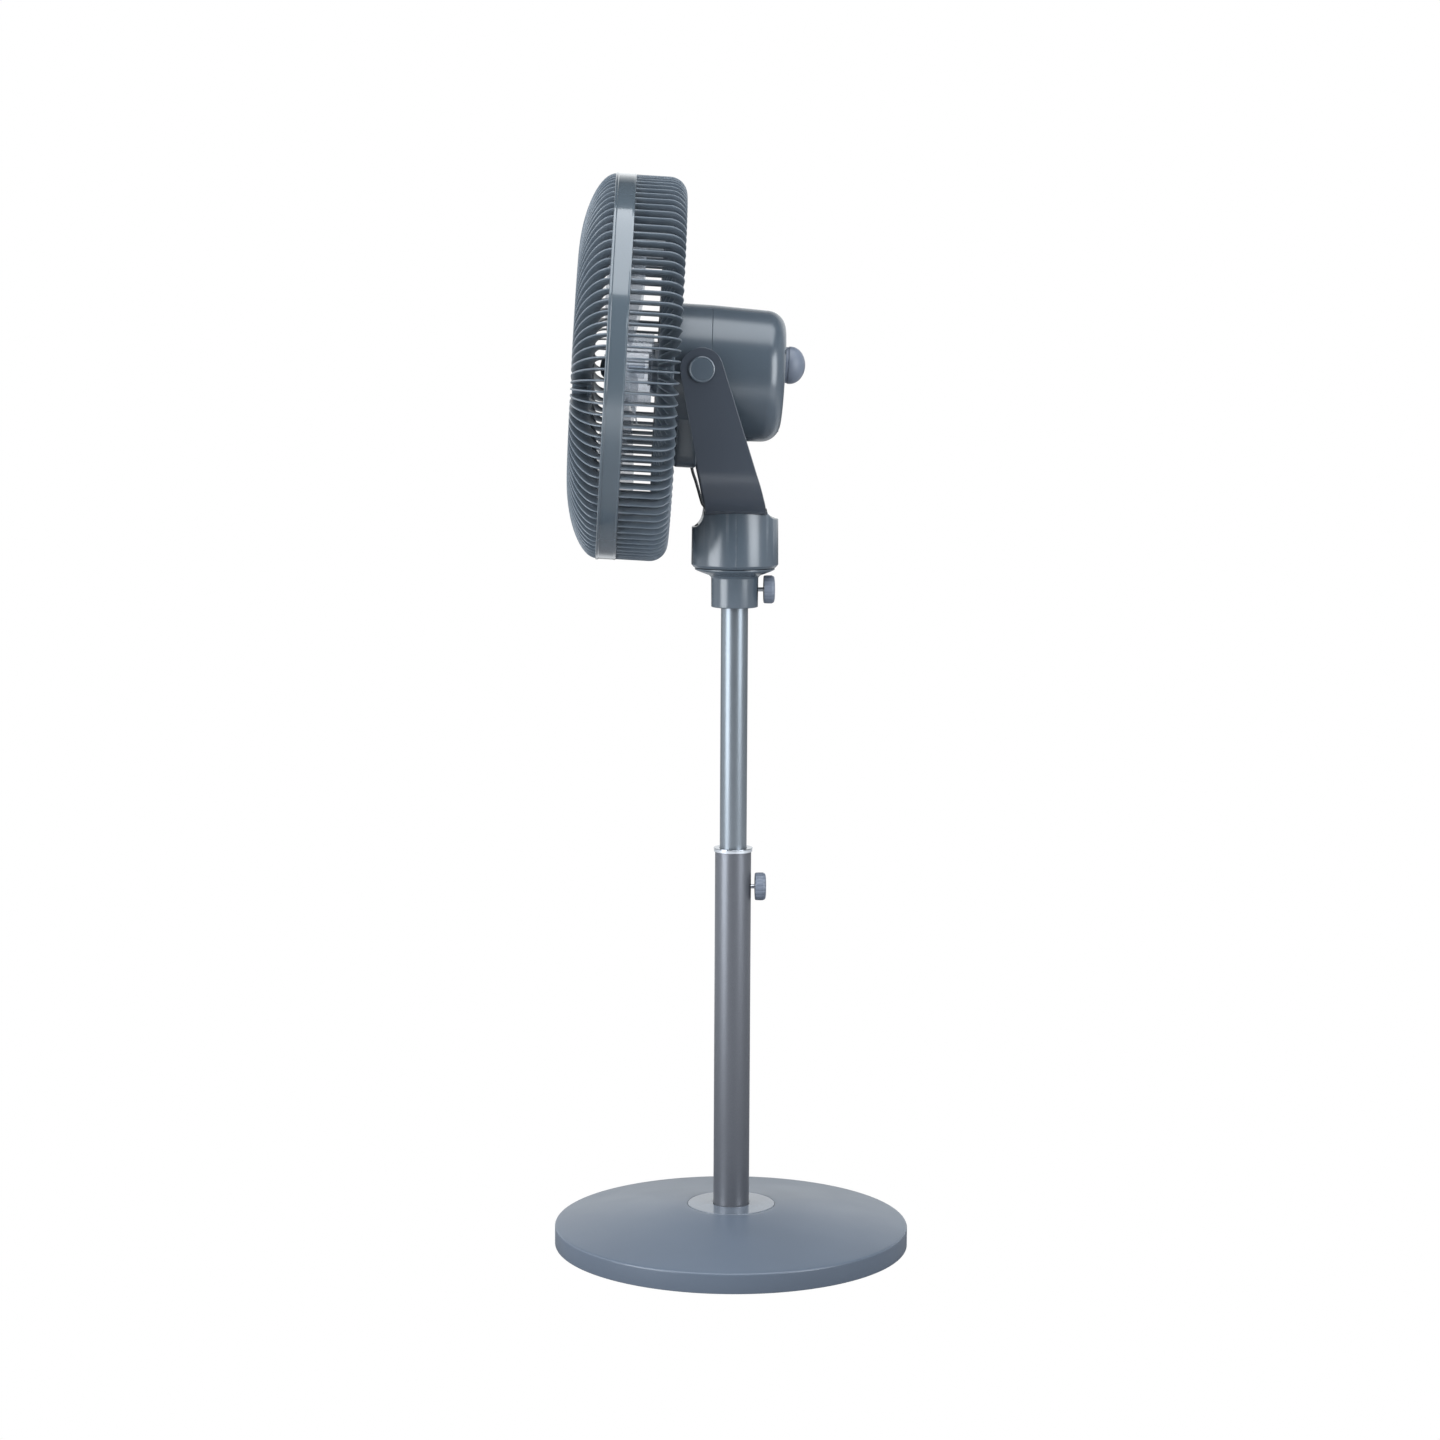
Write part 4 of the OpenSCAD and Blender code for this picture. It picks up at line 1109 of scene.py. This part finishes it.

# ---------------------------------------------------------------- lead
# From the chin to the cup.
LEAD_RADIUS = 1.7
LEAD_SIDES = 20
chin_end = HEAD @ Vector((0, -3.6 * mm, -109.0 * mm))
LEAD_YZ = [(-44.9, 886), (-41.9, 876), (-39.1, 866), (-36.4, 858.8), (-31.0, 855.2),
           (-25.6, 854.4), (LEAD_Y, 847)]


def smooth_path(points, steps):
    """Catmull-Rom curve through the points."""
    points = [points[0] * 2 - points[1]] + points + [points[-1] * 2 - points[-2]]
    out = []
    for i in range(1, len(points) - 2):
        a, b, c, d = points[i - 1:i + 3]
        for k in range(steps):
            t = k / steps
            out.append(0.5 * ((2 * b) + (-a + c) * t + (2 * a - 5 * b + 4 * c - d) * t * t
                              + (-a + 3 * b - 3 * c + d) * t**3))
    out.append(points[-2].copy())
    return out


lead_path = smooth_path([chin_end, chin_end + Vector((0, 2.2, -9)) * mm]
                        + [Vector((0, y, z)) * mm for y, z in LEAD_YZ], steps=12)
bm = bmesh.new()
rings = []
for i, point in enumerate(lead_path):
    along = (lead_path[min(i + 1, len(lead_path) - 1)] - lead_path[max(i - 1, 0)]).normalized()
    across = along.cross(Vector((1, 0, 0))).normalized()
    sideways = across.cross(along).normalized()
    ring = []
    for k in range(LEAD_SIDES):
        a = 2 * pi * k / LEAD_SIDES
        spoke = (sideways * cos(a) + across * sin(a)) * (LEAD_RADIUS * mm)
        ring.append(bm.verts.new(point + spoke))
    rings.append(ring)
bridge(bm, rings)
bm.faces.new(list(reversed(rings[0])))
bm.faces.new(rings[-1])
bmesh.ops.recalc_face_normals(bm, faces=bm.faces)
lead_mesh = new_mesh("head_lead_loop", bm)
for polygon in lead_mesh.polygons:
    polygon.use_smooth = True
lead_mesh.materials.append(MATS["lead_rubber"])
lead = new_object("head_lead_loop", lead_mesh)
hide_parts("head_lead")
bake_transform(lead)
lathe("lead_grommet",
      [(1.9, 848), (4.6, 848), (4.6, 852.3), (6.2, 852.4, 0.3), (6.0, 853.2, 0.4),
       (3.0, 853.8, 0.4), (1.9, 853.4, 0.3)],
      "yoke", "lead_rubber", shift(0, LEAD_Y, 0), segs=48)

# ---------------------------------------------------------------- CAD pieces that stay
slots = {part["node"]: part["material_slot"] for part in frame["record"]["subparts"]}
for name, ob in frame["nodes"].items():
    if not ob.hide_render:
        ob.data.materials.clear()
        ob.data.materials.append(MATS[slots[name]])

# broad round faces get no painted edge highlight
no_edge_highlight = plastic("m_housing_plastic_face", HOUSING, 0.25, edge_highlight=0.0, **HOUSING_SHEEN)
for name in ("centre_disc", "motor_rear_shell"):
    bpy.data.objects[name].data.materials[0] = no_edge_highlight


# ---------------------------------------------------------------- light linking
def collect(name, objects, exclude=False):
    """Collection for light linking, that includes or excludes its objects."""
    collection = bpy.data.collections.new(name)
    for ob in objects:
        collection.objects.link(ob)
    if exclude:
        for member in collection.collection_objects:
            member.light_linking.link_state = "EXCLUDE"
    return collection


# the front overhead box leaves out the motor housing, which has only a short highlight
key_front.light_linking.receiver_collection = collect(
    "screened",
    [ob for ob in scene.objects if ob.name.startswith(("motor_housing", "motor_rear"))],
    exclude=True)


def top_of(ob):
    return max((ob.matrix_world @ Vector(corner)).z for corner in ob.bound_box)


# a lamp below the floor lights only the base's underside, through the floor
under = area("under", at=(0.6, -0.4, -1.6), aim=(0, 0, 0), size=(1.6, 1.6), power=30)
under.light_linking.receiver_collection = collect(
    "below",
    [ob for ob in scene.objects
     if ob.type == "MESH" and ob.name != "floor" and top_of(ob) < 0.016])
under.light_linking.blocker_collection = collect("passed", [floor], exclude=True)
